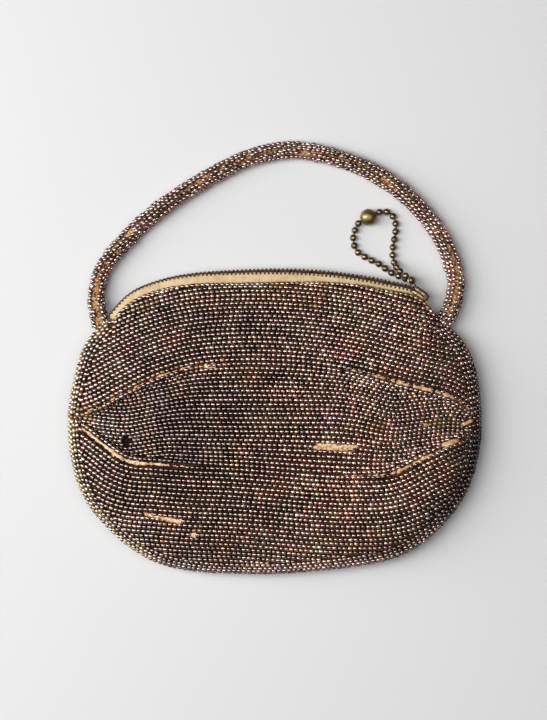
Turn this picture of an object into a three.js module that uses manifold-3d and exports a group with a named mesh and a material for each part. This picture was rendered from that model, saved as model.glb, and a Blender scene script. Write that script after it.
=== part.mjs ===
// Beaded evening purse lying on its back: an oval pouch with tucked sides, a zip along its curved
// top edge, a ball chain on the slider and a beaded tube for a handle.
// Millimetres, +Z up, +Y from the pouch towards the handle, z = 0 on the surface it lies on.
import * as THREE from "three";
import { mergeVertices } from "three/addons/utils/BufferGeometryUtils.js";
import Module from "manifold-3d";

// Pouch
const halfWidth = 99.9;
const crownHeight = 26;
const seamHeight = 8;
const seamGap = 0.3;
const wall = 2;
const zipSideDome = { power: 1.9, root: 0.6 };
const lowerDome = { power: 2.6, root: 0.5 };
const acrossDome = { power: 2.6, root: 0.5 };
const backDome = { power: 4, root: 0.5 };
const backFlat = 1.15;
const foldStep = 2.4;
const narrowStep = 0.3;
const lipRise = 0.3;
const lipSpread = 9;
const frontColumns = 40;
const backColumns = 28;
const backRows = 10;

// Upright cuts through the pouch, evenly spaced round a half turn from its left end to its right.
// top and bottom: the outline; tape: zip inside it, at the mouth; upper and lower: the two fold lines;
// tuck: the share of the pouch's height that is lost between the folds.
const sections = [
  { top: -31.1, tape: 0.0, upper: -31.1, lower: -31.1, bottom: -31.1, tuck: 0.0 },
  { top: -15.1, tape: 0.0, upper: -28.7, lower: -32.5, bottom: -50.9, tuck: 0.2 },
  { top: 5.4, tape: 0.0, upper: -26.5, lower: -34.0, bottom: -68.1, tuck: 0.34 },
  { top: 16.8, tape: 3.6, upper: -22.9, lower: -40.5, bottom: -80.2, tuck: 0.36 },
  { top: 30.4, tape: 3.7, upper: -16.3, lower: -48.8, bottom: -91.8, tuck: 0.3 },
  { top: 37.1, tape: 4.1, upper: -9.3, lower: -50.5, bottom: -100.1, tuck: 0.17 },
  { top: 40.4, tape: 5.2, upper: -4.2, lower: -51.7, bottom: -103.6, tuck: 0.06 },
  { top: 41.6, tape: 6.0, upper: -2.5, lower: -52.4, bottom: -104.7, tuck: 0.0 },
  { top: 42.2, tape: 6.2, upper: -2.5, lower: -53.8, bottom: -104.8, tuck: 0.0 },
  { top: 41.6, tape: 5.4, upper: -4.0, lower: -55.5, bottom: -103.5, tuck: 0.01 },
  { top: 39.5, tape: 4.4, upper: -7.1, lower: -56.3, bottom: -101.4, tuck: 0.06 },
  { top: 36.3, tape: 4.2, upper: -11.7, lower: -55.3, bottom: -98.1, tuck: 0.15 },
  { top: 31.6, tape: 3.6, upper: -15.6, lower: -48.3, bottom: -91.1, tuck: 0.24 },
  { top: 16.6, tape: 3.4, upper: -19.0, lower: -42.5, bottom: -79.3, tuck: 0.3 },
  { top: 6.4, tape: 0.0, upper: -24.8, lower: -38.4, bottom: -66.4, tuck: 0.3 },
  { top: -9.3, tape: 0.0, upper: -29.2, lower: -33.5, bottom: -49.7, tuck: 0.18 },
  { top: -31.1, tape: 0.0, upper: -31.1, lower: -31.1, bottom: -31.1, tuck: 0.0 },
];

// Zip: places are counted in sections
const zipHeight = 8.6;
const mouth = { start: 3.05, end: 12.95, corner: 0.35 };
const zipStart = 3.42;
const zipEnd = 12.9;
const tape = { start: 3.5, end: 12.5, columns: 30, thick: 1, rise: 2, under: 2.9, gap: 0.4, clear: 0.8 };
const tooth = { pitch: 2, thick: 2, railTop: 2.1, railFoot: 1.3, tip: -0.9, base: 1.15, point: 0.6, stop: 3 };
const slider = { along: 0.9, long: 8.6, halfWide: 3.1, plate: 0.9, inside: 1.45, round: 1.3, setIn: 0.25 };
const sliderPost = { from: 1.6, to: 4, halfWide: 1.2 };
const sliderFlange = { deep: 0.85, wide: 0.6 };
const bail = { along: -7.2, out: 2.7, ring: 1.55, wire: 0.5, neck: 1.8 };

// Ball chain: places where its two strands lie, from the large ball to the bail
const chainBall = { radius: 1.7, pitch: 3.9, wire: 0.45, sides: 10, touch: 0.2 };
const largeBall = { x: 45.6, y: 67.8, radius: 4.1, bore: 1, turn: 0.484, sides: 14, leadOut: 0.6 };
const wireInBall = 1.5;
const rightStrand = [
  { x: 54.6, y: 70.4, z: 2.3 },
  { x: 57.9, y: 67.9, z: 1.7 },
  { x: 59.0, y: 64.0, z: 1.7 },
  { x: 58.5, y: 58.4, z: 1.7 },
  { x: 57.5, y: 51.7, z: 1.7 },
  { x: 58.1, y: 45.9, z: 2.9 },
  { x: 60.4, y: 41.6, z: 8.4 },
];
const leftStrand = [
  { x: 38.9, y: 61.0, z: 1.9 },
  { x: 38.4, y: 56.0, z: 1.7 },
  { x: 40.1, y: 51.4, z: 1.7 },
  { x: 44.4, y: 48.3, z: 1.7 },
  { x: 50.9, y: 45.1, z: 1.7 },
  { x: 56.3, y: 41.2, z: 1.8 },
  { x: 60.5, y: 39.2, z: 2.7 },
];

// Handle: the line its middle follows from one top corner to the other
const handle = { radius: 4.5, halfSides: 5, steps: 44, fit: 0.35 };
const handleLine = [
  { x: -83.2, y: 11.8, z: 7.6 },
  { x: -85.4, y: 20.0, z: 7.0 },
  { x: -86.5, y: 28.5, z: 5.6 },
  { x: -83.8, y: 41.2, z: 4.6 },
  { x: -69.2, y: 59.8, z: 4.5 },
  { x: -50.8, y: 75.2, z: 4.5 },
  { x: -31.4, y: 87.2, z: 4.5 },
  { x: -12.1, y: 96.6, z: 4.5 },
  { x: 7.4, y: 100.3, z: 4.5 },
  { x: 26.7, y: 97.4, z: 4.5 },
  { x: 46.1, y: 90.3, z: 4.5 },
  { x: 64.0, y: 78.2, z: 4.5 },
  { x: 80.0, y: 59.4, z: 4.5 },
  { x: 87.6, y: 40.5, z: 4.6 },
  { x: 87.7, y: 31.0, z: 5.4 },
  { x: 85.2, y: 23.0, z: 7.0 },
  { x: 80.6, y: 14.4, z: 7.6 },
];

const finishes = {
  beadedCloth: { color: 0x5e4a42, roughness: 0.35, metalness: 0.4 },
  beadedTube: { color: 0x7f6a5b, roughness: 0.4, metalness: 0.3 },
  tape: { color: 0xd7b98f, roughness: 0.9, metalness: 0 },
  teeth: { color: 0x574230, roughness: 0.4, metalness: 0.9 },
  slider: { color: 0x7c5f3c, roughness: 0.35, metalness: 0.9 },
  chain: { color: 0x5c4930, roughness: 0.35, metalness: 0.9 },
  largeBall: { color: 0x7a6a3c, roughness: 0.3, metalness: 0.9 },
};

const wasm = await Module();
wasm.setup();

const lastSection = sections.length - 1;

// A section's column at any place between the rows, on a smooth curve through them
function columnAt(name, place) {
  const row = Math.min(Math.floor(place), lastSection - 1);
  const share = place - row;
  const from = sections[row][name];
  const to = sections[row + 1][name];
  const before = row > 0 ? sections[row - 1][name] : 2 * from - to;
  const after = row + 2 <= lastSection ? sections[row + 2][name] : 2 * to - from;
  const leaving = (to - before) / 2;
  const arriving = (after - from) / 2;
  const squared = share * share;
  const cubed = squared * share;
  return (
    (2 * cubed - 3 * squared + 1) * from +
    (cubed - 2 * squared + share) * leaving +
    (3 * squared - 2 * cubed) * to +
    (cubed - squared) * arriving
  );
}

function sectionAt(place) {
  const cut = { x: -halfWidth * Math.cos((Math.PI * place) / lastSection) };
  for (const name of Object.keys(sections[0])) {
    cut[name] = columnAt(name, place);
  }
  cut.middle = (cut.top + cut.bottom) / 2;
  cut.half = (cut.top - cut.bottom) / 2;
  cut.tuck = Math.max(0, cut.tuck);
  const fromEnd = Math.min(place - mouth.start, mouth.end - place);
  cut.tape *= THREE.MathUtils.smoothstep(fromEnd, 0, mouth.corner);
  return cut;
}

function placeAtX(x) {
  return (Math.acos(THREE.MathUtils.clamp(-x / halfWidth, -1, 1)) * lastSection) / Math.PI;
}

function domeShare(across, { power, root }) {
  return Math.max(0, 1 - Math.abs(across) ** power) ** root;
}

// How far a shell's three sizes shrink when its surface is set in by a wall
function shellSetIn(inset) {
  const middleHalf = sectionAt(lastSection / 2).half;
  return {
    across: (halfWidth - inset) / halfWidth,
    along: (middleHalf - inset) / middleHalf,
    up: (crownHeight - seamHeight - inset) / (crownHeight - seamHeight),
    down: (seamHeight - inset) / seamHeight,
  };
}

// Height of the front over the seam: a dome, dropped between the fold lines and raised at their lips
function frontRise(cut, y) {
  const along = cut.half > 0 ? (y - cut.middle) / cut.half : 1;
  const dome =
    (crownHeight - seamHeight) *
    domeShare(cut.x / halfWidth, acrossDome) *
    domeShare(along, along > 0 ? zipSideDome : lowerDome);
  const step = foldStepAt(cut);
  const stepShare = (distance) => (step > 0 ? THREE.MathUtils.clamp(distance / step, 0, 1) : 0);
  const between = stepShare(cut.upper - y) * stepShare(y - cut.lower);
  const offUpper = Math.max(0, y - cut.upper) / lipSpread;
  const offLower = Math.max(0, cut.lower - y) / lipSpread;
  const offLip = y > cut.upper ? offUpper : offLower;
  const lip = lipRise * (1 - between) * Math.exp(-offLip * offLip);
  return dome * (1 - cut.tuck * between + cut.tuck * lip);
}

// Width of a fold's step, narrower where the two folds run together at the pouch's ends
function foldStepAt(cut) {
  return Math.min(foldStep, narrowStep * (cut.upper - cut.lower));
}

function backDrop(cut, y) {
  const along = cut.half > 0 ? (y - cut.middle) / cut.half : 1;
  const share = backFlat * domeShare(cut.x / halfWidth, backDome) * domeShare(along, backDome);
  return seamHeight * Math.min(1, share);
}

function frontPoint(place, y, setIn) {
  const cut = sectionAt(place);
  const height = seamHeight + seamGap / 2 + frontRise(cut, y) * setIn.up;
  return new THREE.Vector3(cut.x * setIn.across, cut.middle + (y - cut.middle) * setIn.along, height);
}

function backPoint(place, y, setIn) {
  const cut = sectionAt(place);
  const height = seamHeight - Math.max(seamGap / 2, backDrop(cut, y) * setIn.down);
  return new THREE.Vector3(cut.x * setIn.across, cut.middle + (y - cut.middle) * setIn.along, height);
}

// Height of a set-in surface straight above or below a point of the plan
function heightOver(pointAt, x, y, setIn) {
  const place = placeAtX(x / setIn.across);
  const cut = sectionAt(place);
  return pointAt(place, cut.middle + (y - cut.middle) / setIn.along, setIn).z;
}

// Rows of a front section: three bands, parted by the two fold steps and closer at the outline
function frontRowsAt(cut) {
  const step = foldStepAt(cut);
  const beadEdge = cut.top - cut.tape;
  const rows = [];
  for (const share of [0, 0.07, 0.22, 0.45, 0.72, 1]) {
    rows.push(THREE.MathUtils.lerp(cut.bottom, cut.lower, share));
  }
  for (const share of [0, 0.33, 0.67, 1]) {
    rows.push(THREE.MathUtils.lerp(cut.lower + step, cut.upper - step, share));
  }
  for (const share of [0, 0.22, 0.45, 0.67, 0.86, 1]) {
    rows.push(THREE.MathUtils.lerp(cut.upper, beadEdge, share));
  }
  return rows;
}

function backRowsAt(cut) {
  const rows = [];
  for (let row = 0; row <= backRows; row += 1) {
    const share = (1 - Math.cos((Math.PI * row) / backRows)) / 2;
    rows.push(THREE.MathUtils.lerp(cut.bottom, cut.top - cut.tape, share));
  }
  return rows;
}

function outlineRowsAt(cut) {
  const rows = [];
  for (const share of [0, 0.03, 0.1, 0.3, 0.5, 0.7, 0.9, 0.97, 1]) {
    rows.push(THREE.MathUtils.lerp(cut.bottom, cut.top, share));
  }
  return rows;
}

function geometryOf(points, triangles) {
  const geometry = new THREE.BufferGeometry();
  const flat = points.flatMap((point) => [point.x, point.y, point.z]);
  geometry.setAttribute("position", new THREE.Float32BufferAttribute(flat, 3));
  geometry.setIndex(triangles.flat());
  const merged = mergeVertices(geometry, 1e-3);
  const index = merged.getIndex().array;
  const kept = [];
  for (let at = 0; at < index.length; at += 3) {
    const [a, b, c] = [index[at], index[at + 1], index[at + 2]];
    if (a !== b && b !== c && c !== a) {
      kept.push(a, b, c);
    }
  }
  merged.setIndex(kept);
  return merged;
}

// A closed wall between two grids of points, the first one outside; faces are turned round for a
// surface that looks down
function wallGeometry(outer, inner, looksDown) {
  const columns = outer.length;
  const rows = outer[0].length;
  const points = [...outer.flat(), ...inner.flat()];
  const triangles = [];
  const at = (side, column, row) => side * columns * rows + column * rows + row;
  const quad = (a, b, c, d) => {
    if (looksDown) {
      triangles.push([a, c, b], [a, d, c]);
    } else {
      triangles.push([a, b, c], [a, c, d]);
    }
  };
  for (let column = 0; column + 1 < columns; column += 1) {
    const next = column + 1;
    for (let row = 0; row + 1 < rows; row += 1) {
      quad(at(0, column, row), at(0, next, row), at(0, next, row + 1), at(0, column, row + 1));
      quad(at(1, column, row), at(1, column, row + 1), at(1, next, row + 1), at(1, next, row));
    }
    const last = rows - 1;
    quad(at(0, column, 0), at(1, column, 0), at(1, next, 0), at(0, next, 0));
    quad(at(0, column, last), at(0, next, last), at(1, next, last), at(1, column, last));
  }
  for (let row = 0; row + 1 < rows; row += 1) {
    const last = columns - 1;
    quad(at(0, 0, row), at(0, 0, row + 1), at(1, 0, row + 1), at(1, 0, row));
    quad(at(0, last, row), at(1, last, row), at(1, last, row + 1), at(0, last, row + 1));
  }
  return geometryOf(points, triangles);
}

function surfaceGrid(pointAt, rowsAt, columns, setIn) {
  const grid = [];
  for (let column = 0; column <= columns; column += 1) {
    const place = (lastSection * column) / columns;
    grid.push(rowsAt(sectionAt(place)).map((y) => pointAt(place, y, setIn)));
  }
  return grid;
}

function solidOf(geometry) {
  const bare = geometry.clone();
  bare.deleteAttribute("normal");
  bare.deleteAttribute("uv");
  const merged = mergeVertices(bare, 1e-3);
  const vertProperties = new Float32Array(merged.getAttribute("position").array);
  const triVerts = new Uint32Array(merged.getIndex().array);
  return new wasm.Manifold(new wasm.Mesh({ numProp: 3, vertProperties, triVerts }));
}

function geometryOfSolid(solid) {
  const mesh = solid.getMesh();
  const geometry = new THREE.BufferGeometry();
  geometry.setAttribute("position", new THREE.BufferAttribute(mesh.vertProperties, 3));
  geometry.setIndex(new THREE.BufferAttribute(mesh.triVerts, 1));
  return geometry;
}

const outside = shellSetIn(0);
const inside = shellSetIn(wall);

function frontPanel() {
  const outer = surfaceGrid(frontPoint, frontRowsAt, frontColumns, outside);
  const inner = surfaceGrid(frontPoint, frontRowsAt, frontColumns, inside);
  return wallGeometry(outer, inner, false);
}

function backPanel() {
  const outer = surfaceGrid(backPoint, backRowsAt, backColumns, outside);
  const inner = surfaceGrid(backPoint, backRowsAt, backColumns, inside);
  return wallGeometry(outer, inner, true);
}

// The pouch's whole outer form, grown by a gap, for what is set against it
function pouchForm(gap) {
  const grown = shellSetIn(-gap);
  const over = surfaceGrid(frontPoint, outlineRowsAt, frontColumns, grown);
  const below = surfaceGrid(backPoint, outlineRowsAt, frontColumns, grown);
  return wallGeometry(over, below, false);
}

// The zip's line along the outline, and the frame of any place on it
function zipLine() {
  const points = [];
  const pieces = 60;
  for (let piece = 0; piece <= pieces; piece += 1) {
    const cut = sectionAt(THREE.MathUtils.lerp(zipStart, zipEnd, piece / pieces));
    points.push(new THREE.Vector3(cut.x, cut.top, zipHeight));
  }
  const line = new THREE.CatmullRomCurve3(points);
  line.arcLengthDivisions = 600;
  return line;
}

const zip = zipLine();
const up = new THREE.Vector3(0, 0, 1);

function zipFrame(share) {
  const along = zip.getTangentAt(share);
  return { middle: zip.getPointAt(share), along, outward: new THREE.Vector3().crossVectors(up, along) };
}

function zipPoint(frame, along, outward, rise) {
  return frame.middle
    .clone()
    .addScaledVector(frame.along, along)
    .addScaledVector(frame.outward, outward)
    .addScaledVector(up, rise);
}

function shareAtX(x) {
  let low = 0;
  let high = 1;
  for (let turn = 0; turn < 40; turn += 1) {
    const mid = (low + high) / 2;
    if (zip.getPointAt(mid).x < x) {
      low = mid;
    } else {
      high = mid;
    }
  }
  return (low + high) / 2;
}

// A tape's wall from the teeth to under its panel's edge; side is 1 for the front and -1 for the back
function zipTape(pointAt, side) {
  const face = [];
  const reverse = [];
  for (let column = 0; column <= tape.columns; column += 1) {
    const place = THREE.MathUtils.lerp(tape.start, tape.end, column / tape.columns);
    const cut = sectionAt(place);
    const frame = zipFrame(shareAtX(cut.x));
    const atTeeth = zipPoint(frame, 0, -tooth.thick - tape.gap, side * tape.rise);
    const atPanel = zipPoint(frame, 0, -cut.tape * frame.outward.y - tape.under, 0);
    atPanel.z = heightOver(pointAt, atPanel.x, atPanel.y, inside) - side * tape.clear;
    const depth = new THREE.Vector3(0, 0, -side * tape.thick);
    face.push([atPanel, atTeeth]);
    reverse.push([atPanel.clone().add(depth), atTeeth.clone().add(depth)]);
  }
  return wallGeometry(face, reverse, side < 0);
}

// A comb of tapered teeth on a rail, bent along the zip; the back's comb is turned over and set half
// a pitch along, so that its teeth stand between the front's
function zipTeeth(side) {
  const length = zip.getLength();
  const offset = side > 0 ? 0 : tooth.pitch / 2;
  const count = Math.floor((length * slider.along - tooth.stop - offset) / tooth.pitch);
  const points = [];
  const triangles = [];
  const perTooth = 5;
  const corner = (index, face, which) => (index * 2 + face) * perTooth + which;
  for (let index = 0; index <= count; index += 1) {
    const start = offset + index * tooth.pitch;
    const taper = (tooth.base - tooth.point) / 2;
    const profile = [
      [start, tooth.railTop],
      [start, tooth.railFoot],
      [start + tooth.base, tooth.railFoot],
      [start + taper, tooth.tip],
      [start + tooth.base - taper, tooth.tip],
    ];
    for (const outward of [0, -tooth.thick]) {
      for (const [distance, rise] of profile) {
        const frame = zipFrame(Math.min(1, distance / length));
        points.push(zipPoint(frame, 0, outward, side * rise));
      }
    }
  }
  const add = (a, b, c) => triangles.push(side > 0 ? [a, b, c] : [a, c, b]);
  const quad = (a, b, c, d) => {
    add(a, b, c);
    add(a, c, d);
  };
  for (let index = 0; index < count; index += 1) {
    const front = (which) => corner(index, 0, which);
    const rear = (which) => corner(index, 1, which);
    const frontNext = (which) => corner(index + 1, 0, which);
    const rearNext = (which) => corner(index + 1, 1, which);
    add(front(0), frontNext(0), frontNext(1));
    add(front(0), frontNext(1), front(2));
    add(front(0), front(2), front(1));
    quad(front(1), front(2), front(4), front(3));
    add(rear(0), rearNext(1), rearNext(0));
    add(rear(0), rear(2), rearNext(1));
    add(rear(0), rear(1), rear(2));
    quad(rear(1), rear(3), rear(4), rear(2));
    quad(front(0), rear(0), rearNext(0), frontNext(0));
    quad(front(1), front(3), rear(3), rear(1));
    quad(front(3), front(4), rear(4), rear(3));
    quad(front(4), front(2), rear(2), rear(4));
    quad(front(2), frontNext(1), rearNext(1), rear(2));
  }
  quad(corner(0, 0, 0), corner(0, 0, 1), corner(0, 1, 1), corner(0, 1, 0));
  quad(corner(count, 0, 0), corner(count, 1, 0), corner(count, 1, 1), corner(count, 0, 1));
  return geometryOf(points, triangles);
}

// Box by its two corners in the slider's own frame: along the zip, out from it, up
function blockBetween(low, high) {
  const block = new THREE.BoxGeometry(high[0] - low[0], high[1] - low[1], high[2] - low[2]);
  block.translate((low[0] + high[0]) / 2, (low[1] + high[1]) / 2, (low[2] + high[2]) / 2);
  return block;
}

function sliderPlate(from, to) {
  const end = slider.long / 2;
  const { halfWide, round } = slider;
  const outline = new THREE.Shape();
  outline.moveTo(-end + round, -halfWide);
  outline.lineTo(end - round, -halfWide);
  outline.quadraticCurveTo(end, -halfWide, end, -halfWide + round);
  outline.lineTo(end, halfWide - round);
  outline.quadraticCurveTo(end, halfWide, end - round, halfWide);
  outline.lineTo(-end + round, halfWide);
  outline.quadraticCurveTo(-end, halfWide, -end, halfWide - round);
  outline.lineTo(-end, -halfWide + round);
  outline.quadraticCurveTo(-end, -halfWide, -end + round, -halfWide);
  const settings = { depth: to - from, bevelEnabled: false, curveSegments: 4 };
  const plate = new THREE.ExtrudeGeometry(outline, settings);
  plate.rotateX(Math.PI / 2);
  plate.translate(0, to, 0);
  return plate;
}

// The slider's frame: its middle in the middle of the teeth, turned along the zip
function sliderMatrix() {
  const frame = zipFrame(slider.along);
  const middle = zipPoint(frame, 0, -tooth.thick / 2 - slider.setIn, 0);
  return new THREE.Matrix4().makeBasis(frame.along, frame.outward, up).setPosition(middle);
}

function zipSlider() {
  const { inside: gapHalf, plate, halfWide, long } = slider;
  const outerFace = gapHalf + plate;
  const lap = 0.1;
  const pieces = [
    sliderPlate(gapHalf, outerFace),
    sliderPlate(-outerFace, -gapHalf),
    blockBetween(
      [sliderPost.from, -gapHalf - lap, -sliderPost.halfWide],
      [sliderPost.to, gapHalf + lap, sliderPost.halfWide],
    ),
  ];
  const flangeEnd = long / 2 - slider.round;
  for (const face of [1, -1]) {
    for (const edge of [1, -1]) {
      const outs = [face * (gapHalf + lap), face * (gapHalf - sliderFlange.deep)].sort((a, b) => a - b);
      const rises = [edge * halfWide, edge * (halfWide - sliderFlange.wide)].sort((a, b) => a - b);
      pieces.push(blockBetween([-flangeEnd, outs[0], rises[0]], [flangeEnd, outs[1], rises[1]]));
    }
  }
  const ring = new THREE.TorusGeometry(bail.ring, bail.wire, 6, 14);
  ring.translate(bail.along, bail.out, 0);
  const neck = blockBetween(
    [-long / 2 - bail.neck, gapHalf + lap, -bail.wire],
    [-long / 2 + bail.wire, outerFace, bail.wire],
  );
  pieces.push(ring, neck);
  const joined = pieces.map(solidOf).reduce((whole, piece) => whole.add(piece));
  return geometryOfSolid(joined).applyMatrix4(sliderMatrix());
}

// Room that a tape leaves for the slider
function sliderRoom() {
  const reach = slider.inside + slider.plate + tape.gap;
  const end = slider.long / 2 + tape.gap;
  const tall = slider.halfWide + tape.gap;
  return blockBetween([-end, -reach, -tall], [end, reach, tall]).applyMatrix4(sliderMatrix());
}

function tapeRoundSlider(pointAt, side) {
  return geometryOfSolid(solidOf(zipTape(pointAt, side)).subtract(solidOf(sliderRoom())));
}

// The chain's line: out of the large ball, up to the bail, straight down through it and back
function chainLine() {
  const hole = new THREE.Vector3(bail.along, bail.out, 0).applyMatrix4(sliderMatrix());
  const turn = new THREE.Vector3(Math.cos(largeBall.turn), Math.sin(largeBall.turn), 0);
  const ballMiddle = new THREE.Vector3(largeBall.x, largeBall.y, largeBall.radius);
  const reach = largeBall.radius - wireInBall;
  const toVector = ({ x, y, z }) => new THREE.Vector3(x, y, z);
  const half = chainBall.pitch / 2;
  const points = [
    ballMiddle.clone().addScaledVector(turn, reach),
    ballMiddle.clone().addScaledVector(turn, largeBall.radius + largeBall.leadOut),
    ...rightStrand.map(toVector),
    hole.clone().addScaledVector(up, half),
    hole,
    hole.clone().addScaledVector(up, -half),
    ...leftStrand.map(toVector).reverse(),
    ballMiddle.clone().addScaledVector(turn, -largeBall.radius - largeBall.leadOut),
    ballMiddle.clone().addScaledVector(turn, -reach),
  ];
  const line = new THREE.CatmullRomCurve3(points);
  line.arcLengthDivisions = 1200;
  const holeShare = (rightStrand.length + 3) / (points.length - 1);
  const lengths = line.getLengths();
  return { line, holeDistance: lengths[Math.round(holeShare * line.arcLengthDivisions)] };
}

// Distances of the balls on both sides of the bail's hole: evenly spaced, the nearest half a space
// from the hole and the furthest close to the large ball
function ballDistances(length, holeDistance) {
  const { radius, pitch, touch } = chainBall;
  const clearOfLarge = radius + wireInBall + touch;
  const distances = [];
  for (const way of [-1, 1]) {
    const reach = (way < 0 ? holeDistance : length - holeDistance) - clearOfLarge;
    const count = Math.round(reach / pitch + 0.5);
    const spacing = reach / (count - 0.5);
    for (let ball = 0; ball < count; ball += 1) {
      distances.push(holeDistance + way * (ball + 0.5) * spacing);
    }
  }
  return distances.sort((a, b) => a - b);
}

// Distances and radii of the chain's rings: wire, swelling to each ball
function chainRings(length, holeDistance) {
  const { radius, wire } = chainBall;
  const neck = Math.asin(wire / radius);
  const quarter = (neck + Math.PI / 2) / 2;
  const turns = [neck, quarter, Math.PI / 2, Math.PI - quarter, Math.PI - neck];
  const rings = [{ distance: 0, radius: wire }];
  for (const at of ballDistances(length, holeDistance)) {
    for (const turn of turns) {
      rings.push({ distance: at - radius * Math.cos(turn), radius: radius * Math.sin(turn) });
    }
  }
  rings.push({ distance: length, radius: wire });
  return rings;
}

// A round body of changing radius along a line, closed by a flat at each end
function ringedTube(line, rings, sides) {
  const length = line.getLength();
  const points = [];
  const triangles = [];
  const side = new THREE.Vector3(0, 0, 1);
  rings.forEach(({ distance, radius }) => {
    const share = THREE.MathUtils.clamp(distance / length, 0, 1);
    const along = line.getTangentAt(share);
    side.addScaledVector(along, -side.dot(along)).normalize();
    const other = new THREE.Vector3().crossVectors(along, side);
    const middle = line.getPointAt(share);
    for (let step = 0; step < sides; step += 1) {
      const angle = (2 * Math.PI * step) / sides;
      const point = middle.clone().addScaledVector(side, radius * Math.cos(angle));
      points.push(point.addScaledVector(other, radius * Math.sin(angle)));
    }
  });
  for (let ring = 0; ring + 1 < rings.length; ring += 1) {
    for (let step = 0; step < sides; step += 1) {
      const next = (step + 1) % sides;
      const [a, b] = [ring * sides + step, ring * sides + next];
      const [c, d] = [a + sides, b + sides];
      triangles.push([a, b, d], [a, d, c]);
    }
  }
  const last = (rings.length - 1) * sides;
  for (let step = 1; step + 1 < sides; step += 1) {
    triangles.push([0, step + 1, step], [last, last + step, last + step + 1]);
  }
  return geometryOf(points, triangles);
}

function ballChain() {
  const { line, holeDistance } = chainLine();
  return ringedTube(line, chainRings(line.getLength(), holeDistance), chainBall.sides);
}

// The large ball with the hole that the wire's two ends go into
function drilledBall() {
  const { radius, bore, sides, turn } = largeBall;
  const mouth = Math.asin(bore / radius);
  const arcs = 9;
  const profile = [];
  for (let arc = 0; arc <= arcs; arc += 1) {
    const angle = THREE.MathUtils.lerp(mouth, Math.PI - mouth, arc / arcs);
    profile.push(new THREE.Vector2(radius * Math.sin(angle), -radius * Math.cos(angle)));
  }
  profile.push(profile[0].clone());
  const ball = new THREE.LatheGeometry(profile, sides);
  ball.rotateZ(-Math.PI / 2);
  ball.rotateZ(turn);
  ball.translate(largeBall.x, largeBall.y, radius);
  return ball;
}

function handleTube() {
  const line = new THREE.CatmullRomCurve3(handleLine.map(({ x, y, z }) => new THREE.Vector3(x, y, z)));
  const ring = new THREE.Shape();
  ring.absarc(0, 0, handle.radius, 0, 2 * Math.PI);
  const settings = { steps: handle.steps, curveSegments: handle.halfSides, extrudePath: line };
  const tube = new THREE.ExtrudeGeometry(ring, settings);
  return geometryOfSolid(solidOf(tube).subtract(solidOf(pouchForm(handle.fit))));
}

const purse = new THREE.Group();

function addPiece(name, geometry, finish) {
  const mesh = new THREE.Mesh(geometry, new THREE.MeshStandardMaterial(finish));
  mesh.name = name;
  purse.add(mesh);
}

addPiece("front_panel", frontPanel(), finishes.beadedCloth);
addPiece("back_panel", backPanel(), finishes.beadedCloth);
addPiece("zipper_tape_front", tapeRoundSlider(frontPoint, 1), finishes.tape);
addPiece("zipper_tape_back", tapeRoundSlider(backPoint, -1), finishes.tape);
addPiece("zipper_teeth_front", zipTeeth(1), finishes.teeth);
addPiece("zipper_teeth_back", zipTeeth(-1), finishes.teeth);
addPiece("zipper_slider", zipSlider(), finishes.slider);
addPiece("ball_chain", ballChain(), finishes.chain);
addPiece("chain_ball", drilledBall(), finishes.largeBall);
addPiece("handle", handleTube(), finishes.beadedTube);

export default purse;
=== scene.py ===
import bpy
import numpy as np
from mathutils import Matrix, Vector


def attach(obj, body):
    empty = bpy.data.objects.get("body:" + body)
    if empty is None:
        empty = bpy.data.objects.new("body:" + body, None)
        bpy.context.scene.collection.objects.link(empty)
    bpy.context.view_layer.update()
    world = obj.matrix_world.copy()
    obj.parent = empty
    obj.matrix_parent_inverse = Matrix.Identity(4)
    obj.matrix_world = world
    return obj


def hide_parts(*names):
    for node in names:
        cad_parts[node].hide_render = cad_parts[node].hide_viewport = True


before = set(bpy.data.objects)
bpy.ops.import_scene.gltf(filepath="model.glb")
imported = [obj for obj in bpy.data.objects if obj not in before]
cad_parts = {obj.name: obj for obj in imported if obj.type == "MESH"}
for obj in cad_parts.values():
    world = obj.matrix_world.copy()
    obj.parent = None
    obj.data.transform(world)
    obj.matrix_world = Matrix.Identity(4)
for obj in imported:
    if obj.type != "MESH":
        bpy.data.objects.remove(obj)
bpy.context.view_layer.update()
mm = 0.001  # shapes are worked out in millimetres and become metres in the mesh
tiny = 0.01  # least length to divide by
upward = np.array([0.0, 0.0, 1.0])
frontSide, backSide = 1, -1


def unit(vectors):
    # each vector over its own length
    return vectors / np.maximum(np.linalg.norm(vectors, axis=-1, keepdims=True), 1e-9)


def easeIn(share):
    # smooth step: 3t^2 - 2t^3 of the share held between 0 and 1
    t = np.clip(share, 0, 1)
    return t * t * (3 - 2 * t)


def rising(value, start, over):
    # 0 up to the start, eased to 1 over the distance after it
    return easeIn((value - start) / over)


def falling(value, end, over):
    # 0 from the end on, eased to 1 over the distance before it
    return easeIn((end - value) / over)


def between(value, start, fadeIn, end, fadeOut):
    # 1 from start to end, eased at both
    return rising(value, start, fadeIn) * falling(value, end, fadeOut)


def spotShare(x, y, spot, power=2):
    # exp(-u^power - v^power), u and v measured from the spot's middle by its width and height
    x0, y0, wide, high = spot
    return np.exp(-(((x - x0) / wide) ** power) - ((y - y0) / high) ** power)


def splineThrough(rows, places):
    # cubic between table rows, each row's slope half the step from the row before to the row after
    rows = np.asarray(rows, float)
    table = np.concatenate([[2 * rows[0] - rows[1]], rows, [2 * rows[-1] - rows[-2]]])
    row = np.clip(np.floor(places).astype(int), 0, len(rows) - 2)
    t = (places - row)[..., None]
    before, start, end, after = table[row], table[row + 1], table[row + 2], table[row + 3]
    leave, arrive = (end - before) / 2, (after - start) / 2
    fromStart = (2 * t**3 - 3 * t**2 + 1) * start + (t**3 - 2 * t**2 + t) * leave
    return fromStart + (3 * t**2 - 2 * t**3) * end + (t**3 - t**2) * arrive


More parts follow.
